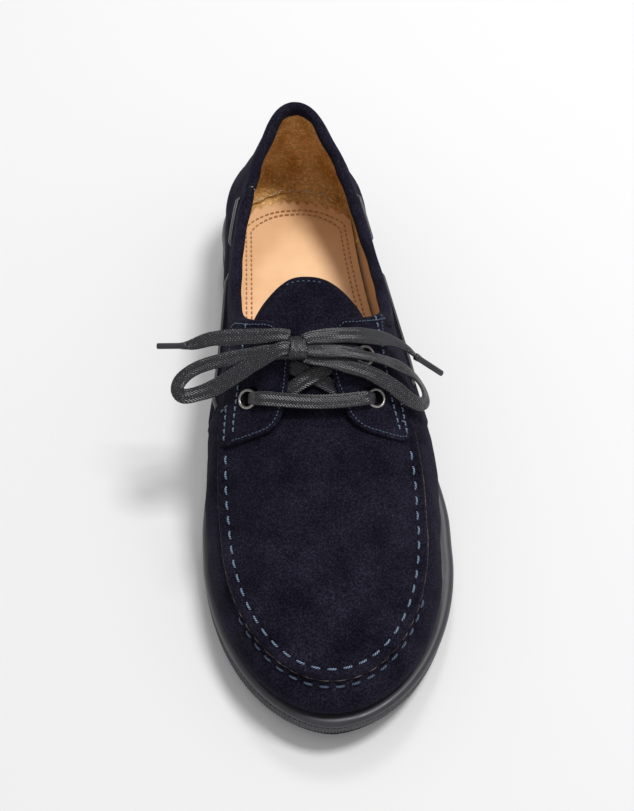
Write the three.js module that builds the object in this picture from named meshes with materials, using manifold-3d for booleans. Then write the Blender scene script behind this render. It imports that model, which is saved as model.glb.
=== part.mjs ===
// Boat shoe for the left foot, about size EU 42.5, standing empty on its sole.
// Millimetres: the toe points to -Y, the outer (lateral) side to +X, and the floor is Z = 0.
import * as THREE from 'three';
import { mergeVertices } from 'three/addons/utils/BufferGeometryUtils.js';
import Module from 'manifold-3d';

const wasm = await Module();
wasm.setup();

// ---------------------------------------------------------------- driving dimensions
const GAP = 0.3; // clearance between neighbouring pieces
const WALL = 2.2; // suede and lining of the upper
const FLAP_THICKNESS = 1.6; // eyestay laid over the upper
const TONGUE_THICKNESS = 2.2;
const TONGUE_DROP = 0.75; // room over the tongue for the crossed laces
const INSOLE_THICKNESS = 3.0;
const MIDSOLE_SWELL = 0.2; // outward roll of the smooth band
const MIDSOLE_TOP_INSET = 1.6;
const GROOVE_DEPTH = 1.3; // tread grooves
const GROOVE_WIDTH = 2.2;
const LACE_WIDTH = 6.4;
const LACE_THICKNESS = 1.5;
const AGLET_RADIUS = 1.5;
const SIDE_LACE_RADIUS = 1.5;
const EYELET_BORE = 2.3;
const EYELET_BARREL = 3.0;
const EYELET_FLANGE = 4.4;
const EYELET_RISE = 1.3; // height of the rolled flange over the flap

const PLACE = [-3.55, -0.25, 0]; // the shoe's own axes start at the heel's centre line
const TOE_CENTRE = -65; // where the straight run ends and the toe fan begins
const HEEL_CENTRE = 106;
const STRAIGHT_STEPS = 14;
const TOE_FAN = { steps: 18, aspect: 1.55 }; // stations round the toe, closer together at the tip
const HEEL_FAN = { steps: 12, aspect: 1.15 };
const FAN_ROUNDNESS = 2.0; // superellipse exponent of the toe and heel outlines
const TOE_POWER = 2.8; // section exponent at the toe tip
const TOE_DROP = 0.5; // share of its height that the toe box loses towards the tip
const BACK_LEAN = 0.2; // forward lean of the heel's back
const LEAN_START = 12; // height over the feather line where a section begins to lean in
const LEAN_RANGE = 60;
const LEAN_POWER = 1.3;
const TUCK_HEIGHT = 18; // height over which the upper curls in to the feather line
const TUCK_POWER = 1.7;
const END_TUCK = 2.0;

// Sections of the upper: plan limits, spine, ridge height, section exponent and inward lean.
const UPPER = table(['y', 'medial', 'lateral', 'spine', 'ridge', 'power', 'lean'], [
  [-65, -49.5, 53.0, -0.5, 54.6, 2.05, 0.0],
  [-45, -50.5, 54.8, -1.4, 60.2, 2.12, 0.0],
  [-22, -49.0, 53.3, -2.5, 69.4, 2.2, 0.0],
  [0, -45.0, 48.5, -3.5, 82, 2.3, 0.1],
  [30, -39.5, 42.5, -3.5, 96, 2.7, 0.28],
  [60, -36.5, 37.5, -2.0, 108, 3.4, 0.45],
  [85, -34.5, 34.5, -1.0, 114, 3.5, 0.62],
  [106, -33.0, 33.0, 0.0, 118, 3.6, 0.84],
]);
const UPPER_TIPS = { toe: -143, heel: 144, toeRoundness: 2.0 };

// Heights along the sole edge, and how far the upper tucks in to meet it.
const EDGE = table(['y', 'junction', 'feather', 'tuckMedial', 'tuckLateral'], [
  [-143, 13.8, 18.5, 2.0, 2.0],
  [-120, 9.5, 16.0, 1.5, 2.0],
  [-93, 7.6, 14.8, 1.0, 2.0],
  [-65, 7.4, 14.6, 1.0, 2.0],
  [-45, 7.8, 15.2, 2.0, 2.8],
  [-22, 8.8, 16.8, 4.5, 3.5],
  [0, 10.2, 18.6, 7.5, 4.5],
  [30, 12.2, 20.9, 7.5, 4.3],
  [60, 13.8, 23.1, 5.5, 4.0],
  [100, 15.2, 25.0, 4.0, 3.5],
  [144, 15.6, 25.5, 3.0, 3.0],
]);

// Plan of the sole.
const SOLE = table(['y', 'medial', 'lateral'], [
  [-65, -50.3, 57.0],
  [-45, -49.6, 57.2],
  [-22, -45.8, 53.2],
  [0, -39.6, 46.6],
  [30, -34.2, 40.6],
  [60, -33.0, 36.4],
  [85, -33.4, 34.8],
  [106, -34.4, 34.4],
]);
const SOLE_TIPS = { toe: -145.5, heel: 146.0, toeRoundness: 1.88 };

// Underside along the middle: toe spring, flat forefoot, arch, heel breast and flat heel.
const UNDERSIDE = table(['y', 'z'], [
  [-150, 9.6],
  [-145, 8.2],
  [-136, 5.6],
  [-125, 3.0],
  [-114, 1.2],
  [-104, 0.3],
  [-96, 0.0],
  [-28, 0.0],
  [-14, 0.7],
  [4, 2.2],
  [22, 2.9],
  [40, 2.8],
  [47, 2.4],
  [49, 0.0],
  [141, 0.0],
  [150, 1.6],
]);

// Top line of the collar and of the flaps, seen from the side.
const COLLAR = table(['y', 'z'], [
  [3, 96.0],
  [6, 90.5],
  [11, 83.5],
  [17, 76.5],
  [24, 69.8],
  [33, 65.2],
  [46, 62.2],
  [62, 61.6],
  [80, 64.0],
  [98, 68.6],
  [115, 74.6],
  [130, 80.0],
  [147, 83.0],
]);

// Plan of the throat cut in the upper, of the tongue and of the two flaps.
const THROAT = [[-17, -17], [-12, -22], [6, -22], [11.5, -17], [10.5, 0], [10.5, 30], [-16.5, 30], [-16.5, 0]];
const TONGUE = [
  [-14, -34], [8, -34], [14, -24], [20, -6], [24.5, 8], [24, 15], [19, 20], [8, 24.5],
  [-4, 26], [-16, 25], [-26, 21.5], [-31, 16], [-31, 8], [-26, -6], [-20, -24],
];
const FLAP_MEDIAL = [
  [-24.5, 13.8], [-18.2, 9.6], [-14.4, 5.8], [-11.8, 1.4], [-11.0, -2.6], [-11.8, -7], [-13, -15], [-14.6, -22],
  [-17, -28], [-21, -31.6], [-27, -32.6], [-34, -32.2], [-40, -30.4], [-42, -27], [-40, -16], [-37.8, -4], [-36.2, 8],
  [-34.4, 22], [-29, 20.5],
];
const FLAP_LATERAL = [
  [17.6, 13.8], [11.2, 9.6], [6.8, 5.6], [4.0, 1.2], [3.6, -3], [5.0, -8], [6.4, -15], [9, -22], [12, -28.5],
  [17, -32.6], [24, -34.2], [31, -34.6], [36, -33.6], [37.6, -30], [35.4, -18], [32, -6], [29.6, 6], [28, 22],
  [22.4, 20.5],
];

// Eyelet centres in plan.
const EYELETS = [
  { name: 'eyelet_medial_lower', x: -28.9, y: -16.7 },
  { name: 'eyelet_lateral_lower', x: 23.2, y: -19.7 },
  { name: 'eyelet_medial_upper', x: -23.2, y: -2.6 },
  { name: 'eyelet_lateral_upper', x: 19.4, y: -3.9 },
];

// Routes of the bow: centre of the lace, x, y and z.
const LOOP_MEDIAL = [
  [-16.2, -6.8, 84.6], [-22, -6.0, 83.2], [-30, -5.2, 80.2], [-41.6, -4.8, 76.4], [-50.9, -6.0, 73.4], [-57, -8.9, 70.6],
  [-59.4, -12.4, 68], [-57.1, -15.2, 66.5], [-50.9, -14.7, 67], [-43, -13.4, 69.8], [-32, -10.8, 77.2], [-22, -8.6, 84],
  [-16.2, -7.4, 87],
];
const LOOP_LATERAL = [
  [-3.4, -9.4, 82.8], [3, -10.6, 82.6], [10.7, -12.4, 81.2], [21, -14.2, 77.4], [30.6, -16.8, 71.4], [38, -19.6, 65.2],
  [43.8, -19.2, 60], [46.8, -15.0, 57.6], [45.6, -9.6, 59.2], [41.4, -6.2, 63.6], [34.3, -6.0, 70.4], [26, -7.6, 77.9],
  [17.5, -8.2, 82.4], [11.5, -8.2, 84.6], [3, -8.0, 85.8], [-3.4, -7.6, 85.9],
];
const END_MEDIAL = [
  [-16.2, -0.6, 87.8], [-22, 0.2, 86.3], [-33.3, 2.8, 82.4], [-44, 5.0, 78.8], [-52.2, 4.9, 75.4], [-56.2, 5.2, 74.2],
];
const END_LATERAL = [
  [-3.4, -3.5, 89.2], [4, -2.9, 89.1], [9, -2.3, 88.5], [17.5, -0.5, 85.5], [26.5, 1.8, 80], [32.6, 3.2, 75.6],
  [39.2, 3.2, 70], [44.3, 1.5, 65],
];
const AGLET_MEDIAL_TIP = [-67.3, 7.1, 72];
const AGLET_LATERAL_TIP = [55.8, -0.3, 55];
const KNOT = [[-9.6, 1.6, 85.2], [-9.8, -2.4, 88.6], [-9.9, -6.8, 89.2], [-9.9, -11.0, 87.0], [-9.9, -13.4, 82.8]];
const KNOT_WIDTH = 9.0;
const KNOT_THICKNESS = 4.0;

// Exposed runs of the cord threaded round the collar: side, then y and z along each run.
const SIDE_LACES = [
  { name: 'side_lace_medial_rear', side: -1, run: [[100, 58], [92, 55.6], [84, 53.6], [77, 52.2]] },
  { name: 'side_lace_medial_front', side: -1, run: [[62, 50.2], [46, 47.6], [28, 45.4], [10, 45.4], [-8, 45.6]] },
  { name: 'side_lace_lateral_rear', side: 1, run: [[100, 58], [92, 55.6], [84, 53.6], [77, 52.2]] },
  { name: 'side_lace_lateral_front', side: 1, run: [[62, 50.2], [46, 47.8], [30, 46.4], [14, 47.4], [-2, 49.8]] },
];

const TREAD_ROWS = [-118, -108, -98, -88, -78, -68, -58, -48, -38, -28, 60, 70, 80, 90, 100, 110, 120];
const TREAD_RIM = 9; // plain margin round the tread

// ---------------------------------------------------------------- tables and sections
function table(columns, rows) {
  return { columns, rows };
}

// Value of one column at y, on a smooth cubic through the rows.
function at(source, column, y) {
  const { rows, columns } = source;
  const c = columns.indexOf(column);
  const last = rows.length - 1;
  const t = Math.min(Math.max(y, rows[0][0]), rows[last][0]);
  let i = 0;
  while (i < last - 1 && t > rows[i + 1][0]) i += 1;
  const slope = (k) => {
    const a = rows[Math.max(k - 1, 0)];
    const b = rows[Math.min(k + 1, last)];
    return (b[c] - a[c]) / (b[0] - a[0]);
  };
  const h = rows[i + 1][0] - rows[i][0];
  const u = (t - rows[i][0]) / h;
  const u2 = u * u;
  const u3 = u2 * u;
  const start = (2 * u3 - 3 * u2 + 1) * rows[i][c] + (u3 - 2 * u2 + u) * h * slope(i);
  const end = (3 * u2 - 2 * u3) * rows[i + 1][c] + (u3 - u2) * h * slope(i + 1);
  return start + end;
}

// Stations once round the footprint, counter-clockwise from above, starting on the outer side.
function stations() {
  const list = [];
  const span = HEEL_CENTRE - TOE_CENTRE;
  for (let i = 0; i < STRAIGHT_STEPS; i += 1) {
    list.push({ y: TOE_CENTRE + (span * i) / STRAIGHT_STEPS, dx: 1, dy: 0 });
  }
  list.push(...fan(HEEL_FAN, HEEL_CENTRE, 1));
  for (let i = STRAIGHT_STEPS; i > 0; i -= 1) {
    list.push({ y: TOE_CENTRE + (span * i) / STRAIGHT_STEPS, dx: -1, dy: 0 });
  }
  list.push(...fan(TOE_FAN, TOE_CENTRE, -1));
  return list;
}

// Half a turn of stations about one centre; sign is 1 round the heel and -1 round the toe.
function fan(shape, y, sign) {
  const list = [];
  for (let i = 0; i < shape.steps; i += 1) {
    const a = (Math.PI * i) / shape.steps;
    const across = Math.cos(a);
    const along = shape.aspect * Math.sin(a);
    const length = Math.hypot(across, along);
    list.push({ y, dx: (sign * across) / length, dy: (sign * along) / length });
  }
  return list;
}

// Distance from the spine to an outline in a station's direction.
function reach(outline, tips, station) {
  const spine = at(UPPER, 'spine', station.y);
  const lateral = at(outline, 'lateral', station.y) - spine;
  const medial = spine - at(outline, 'medial', station.y);
  const half = station.dx > 0 ? lateral : medial;
  if (Math.abs(station.dy) < 1e-9) return half;
  const length = station.dy < 0 ? station.y - tips.toe : tips.heel - station.y;
  const n = station.dy < 0 ? tips.toeRoundness : FAN_ROUNDNESS;
  const across = (Math.abs(station.dx) / half) ** n;
  const along = (Math.abs(station.dy) / length) ** n;
  return (across + along) ** (-1 / n);
}

// The section of the upper at a station, grown outward by offset.
function section(station, offset) {
  const radius = reach(UPPER, UPPER_TIPS, station);
  const y = station.y + station.dy * radius;
  const turned = station.dy * station.dy;
  let power = at(UPPER, 'power', station.y);
  let lean = at(UPPER, 'lean', station.y);
  if (station.dy < 0) power += (TOE_POWER - power) * turned;
  if (station.dy > 0) lean += (BACK_LEAN - lean) * turned ** 3;
  const side = station.dx < 0 ? at(EDGE, 'tuckMedial', y) : at(EDGE, 'tuckLateral', y);
  const across = Math.abs(station.dx);
  const feather = at(EDGE, 'feather', y);
  return {
    spine: at(UPPER, 'spine', station.y),
    radius: radius + offset,
    feather,
    rise: at(UPPER, 'ridge', station.y) + offset - feather,
    power,
    lean,
    drop: station.dy < 0 ? (TOE_DROP * -station.dy) / (TOE_CENTRE - UPPER_TIPS.toe) : 0,
    tuck: side * across + END_TUCK * (1 - across),
  };
}

// Distance from the spine and height on a section, at an angle up from the feather line.
function profile(form, angle) {
  const c = Math.max(Math.cos(angle), 0);
  const s = Math.sin(angle);
  const scale = (c ** form.power + s ** form.power) ** (1 / form.power);
  const height = (form.rise * s) / scale;
  const lean = form.lean * (Math.max(height - LEAN_START, 0) / LEAN_RANGE) ** LEAN_POWER;
  const tuck = form.tuck * Math.max(1 - height / TUCK_HEIGHT, 0) ** TUCK_POWER;
  const out = (form.radius * c * (1 - lean)) / scale - tuck * Math.min(c * 4, 1);
  return { out: Math.max(out, 0), z: form.feather + height * (1 - form.drop * Math.max(out, 0)) };
}

function formPoint(station, angle, offset, drop = 0) {
  const form = section(station, offset);
  const p = profile(form, angle);
  return [form.spine + station.dx * p.out, station.y + station.dy * p.out, p.z - drop];
}

// Point of the form over a place in plan, in the straight run.
function over(x, y, offset) {
  const spine = at(UPPER, 'spine', y);
  const form = section({ y, dx: x < spine ? -1 : 1, dy: 0 }, offset);
  const target = Math.abs(x - spine);
  let low = 0.15;
  let high = Math.PI / 2;
  for (let i = 0; i < 40; i += 1) {
    const middle = (low + high) / 2;
    if (profile(form, middle).out > target) low = middle;
    else high = middle;
  }
  return new THREE.Vector3(x, y, profile(form, (low + high) / 2).z);
}

// Point of the form at a height on one side.
function beside(side, y, z, offset) {
  const form = section({ y, dx: side, dy: 0 }, offset);
  let low = 0;
  let high = Math.PI / 2;
  for (let i = 0; i < 40; i += 1) {
    const middle = (low + high) / 2;
    if (profile(form, middle).z < z) low = middle;
    else high = middle;
  }
  return new THREE.Vector3(form.spine + side * profile(form, low).out, y, z);
}

function normalOver(x, y) {
  const step = 0.5;
  const along = over(x, y + step, 0).sub(over(x, y - step, 0));
  const across = over(x + step, y, 0).sub(over(x - step, y, 0));
  return across.cross(along).normalize();
}

function normalBeside(side, y, z) {
  const step = 0.5;
  const along = beside(side, y + step, z, 0).sub(beside(side, y - step, z, 0));
  const up = beside(side, y, z + step, 0).sub(beside(side, y, z - step, 0));
  return along.cross(up).normalize().multiplyScalar(side);
}

// ---------------------------------------------------------------- solids
function geometryOf(positions, triangles) {
  const geometry = new THREE.BufferGeometry();
  geometry.setAttribute('position', new THREE.Float32BufferAttribute(positions, 3));
  geometry.setIndex(triangles);
  return geometry;
}

function welded(source) {
  const bare = source.clone();
  bare.deleteAttribute('normal');
  bare.deleteAttribute('uv');
  const merged = mergeVertices(bare, 1e-4);
  const index = merged.getIndex().array;
  const kept = [];
  for (let i = 0; i < index.length; i += 3) {
    const [a, b, c] = [index[i], index[i + 1], index[i + 2]];
    if (a !== b && b !== c && a !== c) kept.push(a, b, c);
  }
  return geometryOf(Array.from(merged.getAttribute('position').array), kept);
}

function solid(source) {
  const clean = welded(source);
  return new wasm.Manifold(new wasm.Mesh({
    numProp: 3,
    vertProperties: new Float32Array(clean.getAttribute('position').array),
    triVerts: new Uint32Array(clean.getIndex().array),
  }));
}

function surfaceOf(body) {
  const mesh = body.getMesh();
  return geometryOf(Array.from(mesh.vertProperties), Array.from(mesh.triVerts));
}

// A closed body from rings of points, bottom to top, capped along the spine.
function ringBody(levels, topCap) {
  const ring = stations();
  const count = ring.length;
  const positions = [];
  for (const level of levels) {
    for (const station of ring) positions.push(...level(station));
  }
  const triangles = [];
  const quad = (a, b, c, d) => triangles.push(a, b, c, a, c, d);
  for (let j = 0; j + 1 < levels.length; j += 1) {
    for (let i = 0; i < count; i += 1) {
      const next = (i + 1) % count;
      quad(j * count + i, j * count + next, (j + 1) * count + next, (j + 1) * count + i);
    }
  }
  const cap = (level, up) => {
    const base = positions.length / 3;
    for (const station of ring) {
      const row = levels[level](station);
      const y = Math.min(Math.max(station.y, TOE_CENTRE), HEEL_CENTRE);
      const edge = levels[level]({ y, dx: 1, dy: 0 });
      positions.push(at(UPPER, 'spine', y), y, edge[2]);
    }
    for (let i = 0; i < count; i += 1) {
      const next = (i + 1) % count;
      const a = level * count + i;
      const b = level * count + next;
      if (up) quad(a, b, base + next, base + i);
      else quad(b, a, base + i, base + next);
    }
  };
  cap(0, false);
  if (topCap) cap(levels.length - 1, true);
  return solid(geometryOf(positions, triangles));
}

const SECTION_DEGREES = [0, 2.5, 6, 10, 15, 21, 28, 36, 44, 52, 60, 68, 76, 83, 90];

// The whole form of the foot space, from the feather line to the ridge.
function wholeForm(offset, drop = 0) {
  const levels = SECTION_DEGREES.map((degrees) => (station) => (
    formPoint(station, THREE.MathUtils.degToRad(degrees), offset)));
  if (drop > 0) levels.unshift((station) => formPoint(station, 0, offset, drop));
  return ringBody(levels, false);
}

function planPrism(points, bottom, top, smooth = true) {
  const corners = points.map(([x, y]) => new THREE.Vector2(x, y));
  const curve = new THREE.CatmullRomCurve3(corners.map((p) => new THREE.Vector3(p.x, p.y, 0)), true);
  const outline = smooth ? curve.getPoints(points.length * 3).slice(0, -1).map((p) => new THREE.Vector2(p.x, p.y)) : corners;
  const geometry = new THREE.ExtrudeGeometry(new THREE.Shape(outline), { depth: top - bottom, bevelEnabled: false });
  geometry.translate(0, 0, bottom);
  return solid(geometry);
}

// A prism across the shoe from an outline in y and z.
function sidePrism(outline, halfWidth) {
  const shape = new THREE.Shape(outline.map(([y, z]) => new THREE.Vector2(y, z)));
  const geometry = new THREE.ExtrudeGeometry(shape, { depth: 2 * halfWidth, bevelEnabled: false });
  geometry.rotateX(Math.PI / 2);
  geometry.rotateZ(Math.PI / 2);
  geometry.translate(-halfWidth, 0, 0);
  return solid(geometry);
}

function smoothRows(source, steps) {
  const first = source.rows[0][0];
  const last = source.rows[source.rows.length - 1][0];
  const list = [];
  for (let i = 0; i <= steps; i += 1) {
    const y = first + ((last - first) * i) / steps;
    list.push([y, at(source, 'z', y)]);
  }
  return list;
}

// Everything above the collar line, raised or lowered by lift.
function aboveCollar(lift) {
  const line = smoothRows(COLLAR, 40).map(([y, z]) => [y, z + lift]);
  return sidePrism([...line, [160, 84 + lift], [160, 150], [3, 150]], 80);
}

// ---------------------------------------------------------------- laces and cords
// A flat or round strand along a smooth route: rows of centre, upward direction and half sizes.
function strand(rows, sides = 8) {
  const positions = [];
  const triangles = [];
  const count = rows.length;
  rows.forEach((row, i) => {
    const before = rows[Math.max(i - 1, 0)].centre;
    const after = rows[Math.min(i + 1, count - 1)].centre;
    const tangent = after.clone().sub(before).normalize();
    const across = tangent.clone().cross(row.up).normalize();
    const up = across.clone().cross(tangent).normalize();
    for (let k = 0; k < sides; k += 1) {
      const a = (2 * Math.PI * (k + 0.5)) / sides;
      const flat = (v) => Math.sign(v) * Math.abs(v) ** 0.6;
      const p = row.centre.clone()
        .addScaledVector(across, flat(Math.cos(a)) * row.halfWidth)
        .addScaledVector(up, flat(Math.sin(a)) * row.halfThickness);
      positions.push(p.x, p.y, p.z);
    }
  });
  for (let i = 0; i + 1 < count; i += 1) {
    for (let k = 0; k < sides; k += 1) {
      const next = (k + 1) % sides;
      const [a, b, c, d] = [i * sides + k, i * sides + next, (i + 1) * sides + next, (i + 1) * sides + k];
      triangles.push(a, b, c, a, c, d);
    }
  }
  for (let k = 1; k + 1 < sides; k += 1) {
    const end = (count - 1) * sides;
    triangles.push(0, k + 1, k, end, end + k, end + k + 1);
  }
  const body = geometryOf(positions, triangles);
  if (signedVolume(body) < 0) {
    for (let i = 0; i < triangles.length; i += 3) {
      [triangles[i + 1], triangles[i + 2]] = [triangles[i + 2], triangles[i + 1]];
    }
    body.setIndex(triangles);
  }
  return body;
}

function signedVolume(geometry) {
  const p = geometry.getAttribute('position');
  const index = geometry.getIndex().array;
  const [a, b, c] = [new THREE.Vector3(), new THREE.Vector3(), new THREE.Vector3()];
  let volume = 0;
  for (let i = 0; i < index.length; i += 3) {
    a.fromBufferAttribute(p, index[i]);
    b.fromBufferAttribute(p, index[i + 1]);
    c.fromBufferAttribute(p, index[i + 2]);
    volume += a.dot(b.cross(c)) / 6;
  }
  return volume;
}

// A lace through free points; up gives its flat side at the start and the end.
function freeLace(points, steps, upStart, upEnd, width = LACE_WIDTH, thickness = LACE_THICKNESS) {
  const curve = new THREE.CatmullRomCurve3(points.map((p) => new THREE.Vector3(...p)), false, 'centripetal');
  const rows = [];
  for (let i = 0; i <= steps; i += 1) {
    const t = i / steps;
    const up = new THREE.Vector3(...upStart).lerp(new THREE.Vector3(...upEnd), t);
    rows.push({ centre: curve.getPointAt(t), up, halfWidth: width / 2, halfThickness: thickness / 2 });
  }
  return strand(rows);
}

// A lace lying over the instep between two places in plan; lift is its height over the form.
function lyingLace(start, end, bow, lifts, steps) {
  const rows = [];
  for (let i = 0; i <= steps; i += 1) {
    const t = i / steps;
    const x = start[0] + (end[0] - start[0]) * t;
    const y = start[1] + (end[1] - start[1]) * t - bow * Math.sin(Math.PI * t);
    const lift = lifts[0] + (lifts[1] - lifts[0]) * Math.sin(Math.PI * t);
    const normal = normalOver(x, y);
    rows.push({
      centre: over(x, y, 0).addScaledVector(normal, lift),
      up: normal,
      halfWidth: LACE_WIDTH / 2,
      halfThickness: LACE_THICKNESS / 2,
    });
  }
  return strand(rows);
}

function sideLace(piece) {
  const curve = new THREE.CatmullRomCurve3(piece.run.map(([y, z]) => new THREE.Vector3(0, y, z)));
  const steps = Math.round(curve.getLength() / 4);
  const rows = [];
  for (let i = 0; i <= steps; i += 1) {
    const p = curve.getPointAt(i / steps);
    const normal = normalBeside(piece.side, p.y, p.z);
    rows.push({
      centre: beside(piece.side, p.y, p.z, 0).addScaledVector(normal, SIDE_LACE_RADIUS + GAP),
      up: normal,
      halfWidth: SIDE_LACE_RADIUS,
      halfThickness: SIDE_LACE_RADIUS,
    });
  }
  return strand(rows);
}

// A tapering sleeve on the end of a lace.
function aglet(lace, tip) {
  const from = new THREE.Vector3(...lace[lace.length - 1]);
  const to = new THREE.Vector3(...tip);
  const heading = to.clone().sub(from).normalize();
  const start = from.clone().addScaledVector(heading, 0.6);
  const rows = [0, 0.5, 1].map((t) => ({
    centre: start.clone().lerp(to, t),
    up: new THREE.Vector3(0, 0, 1),
    halfWidth: AGLET_RADIUS,
    halfThickness: AGLET_RADIUS,
  }));
  return strand(rows);
}

// ---------------------------------------------------------------- pieces
function buildOutsole() {
  const edge = (key, outset) => (station) => {
    const radius = reach(SOLE, SOLE_TIPS, station) + outset;
    const y = station.y + station.dy * radius;
    const z = key === 'floor' ? -1 : at(EDGE, 'junction', y);
    return [at(UPPER, 'spine', station.y) + station.dx * radius, y, z];
  };
  let body = ringBody([edge('floor', -0.6), edge('junction', 0)], true);
  const line = UNDERSIDE.rows.map(([y, z]) => [y, z]);
  body = body.subtract(sidePrism([[-160, -10], ...line, [160, -10]].reverse(), 80));
  for (const y of TREAD_ROWS) body = body.subtract(treadGroove(y));
  return surfaceOf(body);
}

// A groove across the tread that follows the toe spring and stops short of the edge.
function treadGroove(y) {
  const half = (side) => {
    if (y >= TOE_CENTRE) return Math.abs(at(SOLE, side, y)) - TREAD_RIM;
    const down = (TOE_CENTRE - y) / (TOE_CENTRE - SOLE_TIPS.toe);
    return Math.abs(at(SOLE, side, TOE_CENTRE)) * Math.sqrt(1 - down * down) - TREAD_RIM;
  };
  const width = half('medial') + half('lateral');
  const z = at(UNDERSIDE, 'z', y);
  const box = new THREE.BoxGeometry(width, GROOVE_WIDTH, 2 * GROOVE_DEPTH);
  box.translate((half('lateral') - half('medial')) / 2, y, z);
  return solid(box);
}

function buildMidsole() {
  const edge = (blend, inset, lift) => (station) => {
    const radius = reach(SOLE, SOLE_TIPS, station) - inset;
    const y = station.y + station.dy * radius;
    const low = at(EDGE, 'junction', y);
    const high = at(EDGE, 'feather', y);
    const z = low + (high - low) * blend + lift;
    return [at(UPPER, 'spine', station.y) + station.dx * radius, y, z];
  };
  const levels = [
    edge(0, 0.6, GAP),
    edge(0.3, -MIDSOLE_SWELL, 0),
    edge(0.65, -MIDSOLE_SWELL, 0),
    edge(0.9, MIDSOLE_TOP_INSET - 0.8, 0),
    edge(1, MIDSOLE_TOP_INSET, -GAP),
  ];
  return surfaceOf(ringBody(levels, true));
}

function buildInsole() {
  const level = (rise, inset) => (station) => {
    const form = section(station, -WALL - 2 * GAP - inset);
    const tuck = form.tuck * (1 - rise / TUCK_HEIGHT) ** TUCK_POWER;
    const out = form.radius - tuck;
    return [form.spine + station.dx * out, station.y + station.dy * out, form.feather + rise];
  };
  return surfaceOf(ringBody([level(0, 0.4), level(INSOLE_THICKNESS * 0.6, 0.2), level(INSOLE_THICKNESS, 1)], true));
}

function buildUpper(outer) {
  const inner = wholeForm(-WALL, 6);
  let body = outer.subtract(inner);
  body = body.subtract(aboveCollar(0));
  body = body.subtract(planPrism(THROAT, 50, 130));
  for (const eyelet of EYELETS) body = body.subtract(eyeletHole(eyelet));
  return surfaceOf(body);
}

function buildTongue() {
  const top = -WALL - GAP - TONGUE_DROP;
  const slab = wholeForm(top).subtract(wholeForm(top - TONGUE_THICKNESS, 6));
  return surfaceOf(slab.intersect(planPrism(TONGUE, 50, 130)));
}

function buildFlap(outline, slab) {
  let body = slab.intersect(planPrism(outline, 30, 130));
  body = body.subtract(aboveCollar(-0.6));
  for (const eyelet of EYELETS) body = body.subtract(eyeletHole(eyelet));
  return surfaceOf(body);
}

function eyeletFrame(eyelet) {
  const normal = normalOver(eyelet.x, eyelet.y);
  const seat = over(eyelet.x, eyelet.y, 0).addScaledVector(normal, GAP + FLAP_THICKNESS);
  const turn = new THREE.Quaternion().setFromUnitVectors(new THREE.Vector3(0, 1, 0), normal);
  return { seat, turn };
}

function eyeletHole(eyelet) {
  const { seat, turn } = eyeletFrame(eyelet);
  const drill = new THREE.CylinderGeometry(EYELET_BARREL + GAP, EYELET_BARREL + GAP, 10, 20);
  drill.applyQuaternion(turn);
  drill.translate(seat.x, seat.y, seat.z);
  return solid(drill);
}

function buildEyelet() {
  const depth = FLAP_THICKNESS + GAP + WALL;
  const profilePoints = [
    [EYELET_BORE, -depth],
    [EYELET_BARREL, -depth],
    [EYELET_BARREL, GAP],
    [EYELET_FLANGE, GAP],
    [EYELET_FLANGE + 0.2, 0.6 * EYELET_RISE],
    [0.5 * (EYELET_FLANGE + EYELET_BORE), EYELET_RISE],
    [EYELET_BORE + 0.2, 0.8 * EYELET_RISE],
    [EYELET_BORE, 0.4 * EYELET_RISE],
  ];
  const closed = [...profilePoints, profilePoints[0]].map(([r, h]) => new THREE.Vector2(r, h));
  return welded(new THREE.LatheGeometry(closed, 18));
}

function buildCrossing() {
  const first = lyingLace([-14.6, -17], [9.2, -7.4], 0, [-0.9, -0.7], 6);
  const second = lyingLace([9.2, -17.4], [-14.6, -7.2], 0, [-1.7, -1.7], 6);
  return surfaceOf(solid(first).add(solid(second)));
}

// ---------------------------------------------------------------- assembly
const shoe = new THREE.Group();
shoe.position.set(...PLACE); // brings the middle of the footprint to the origin

function material(color, roughness, metalness = 0) {
  return new THREE.MeshStandardMaterial({ color, roughness, metalness });
}

const NAVY_SUEDE = material(0x2a2d3f, 0.95);
const TAN_LEATHER = material(0xcfa377, 0.6);
const RUBBER = material(0x35363f, 0.7);
const SMOOTH_RUBBER = material(0x3a3b45, 0.5);
const LACE = material(0x3f4147, 0.6);
const SIDE_CORD = material(0x6d6f74, 0.4);
const GUNMETAL = material(0x8d9096, 0.35, 1);

function addPiece(name, geometry, look) {
  const mesh = new THREE.Mesh(geometry, look.clone());
  mesh.name = name;
  shoe.add(mesh);
  return mesh;
}

const outerForm = wholeForm(0);
const flapSlab = wholeForm(GAP + FLAP_THICKNESS).subtract(wholeForm(GAP, 6));
const flapLift = GAP + FLAP_THICKNESS + GAP + LACE_THICKNESS / 2;
const ringLift = GAP + FLAP_THICKNESS + EYELET_RISE + 3 * GAP + LACE_THICKNESS / 2;

addPiece('outsole', buildOutsole(), RUBBER);
addPiece('midsole', buildMidsole(), SMOOTH_RUBBER);
addPiece('insole', buildInsole(), TAN_LEATHER);
addPiece('upper', buildUpper(outerForm), NAVY_SUEDE);
addPiece('tongue', buildTongue(), NAVY_SUEDE);
addPiece('eyestay_medial', buildFlap(FLAP_MEDIAL, flapSlab), NAVY_SUEDE);
addPiece('eyestay_lateral', buildFlap(FLAP_LATERAL, flapSlab), NAVY_SUEDE);
for (const eyelet of EYELETS) {
  const ring = addPiece(eyelet.name, buildEyelet(), GUNMETAL);
  const { seat, turn } = eyeletFrame(eyelet);
  ring.position.copy(seat);
  ring.quaternion.copy(turn);
}
addPiece('lace_lower_bar', lyingLace([-28.4, -16.8], [22.8, -19.8], 4, [ringLift, flapLift], 12), LACE);
addPiece('lace_crossing', buildCrossing(), LACE);
addPiece('lace_upper_bar', lyingLace([-22.8, -2.6], [19.0, -3.9], 1, [ringLift, flapLift], 10), LACE);
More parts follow.
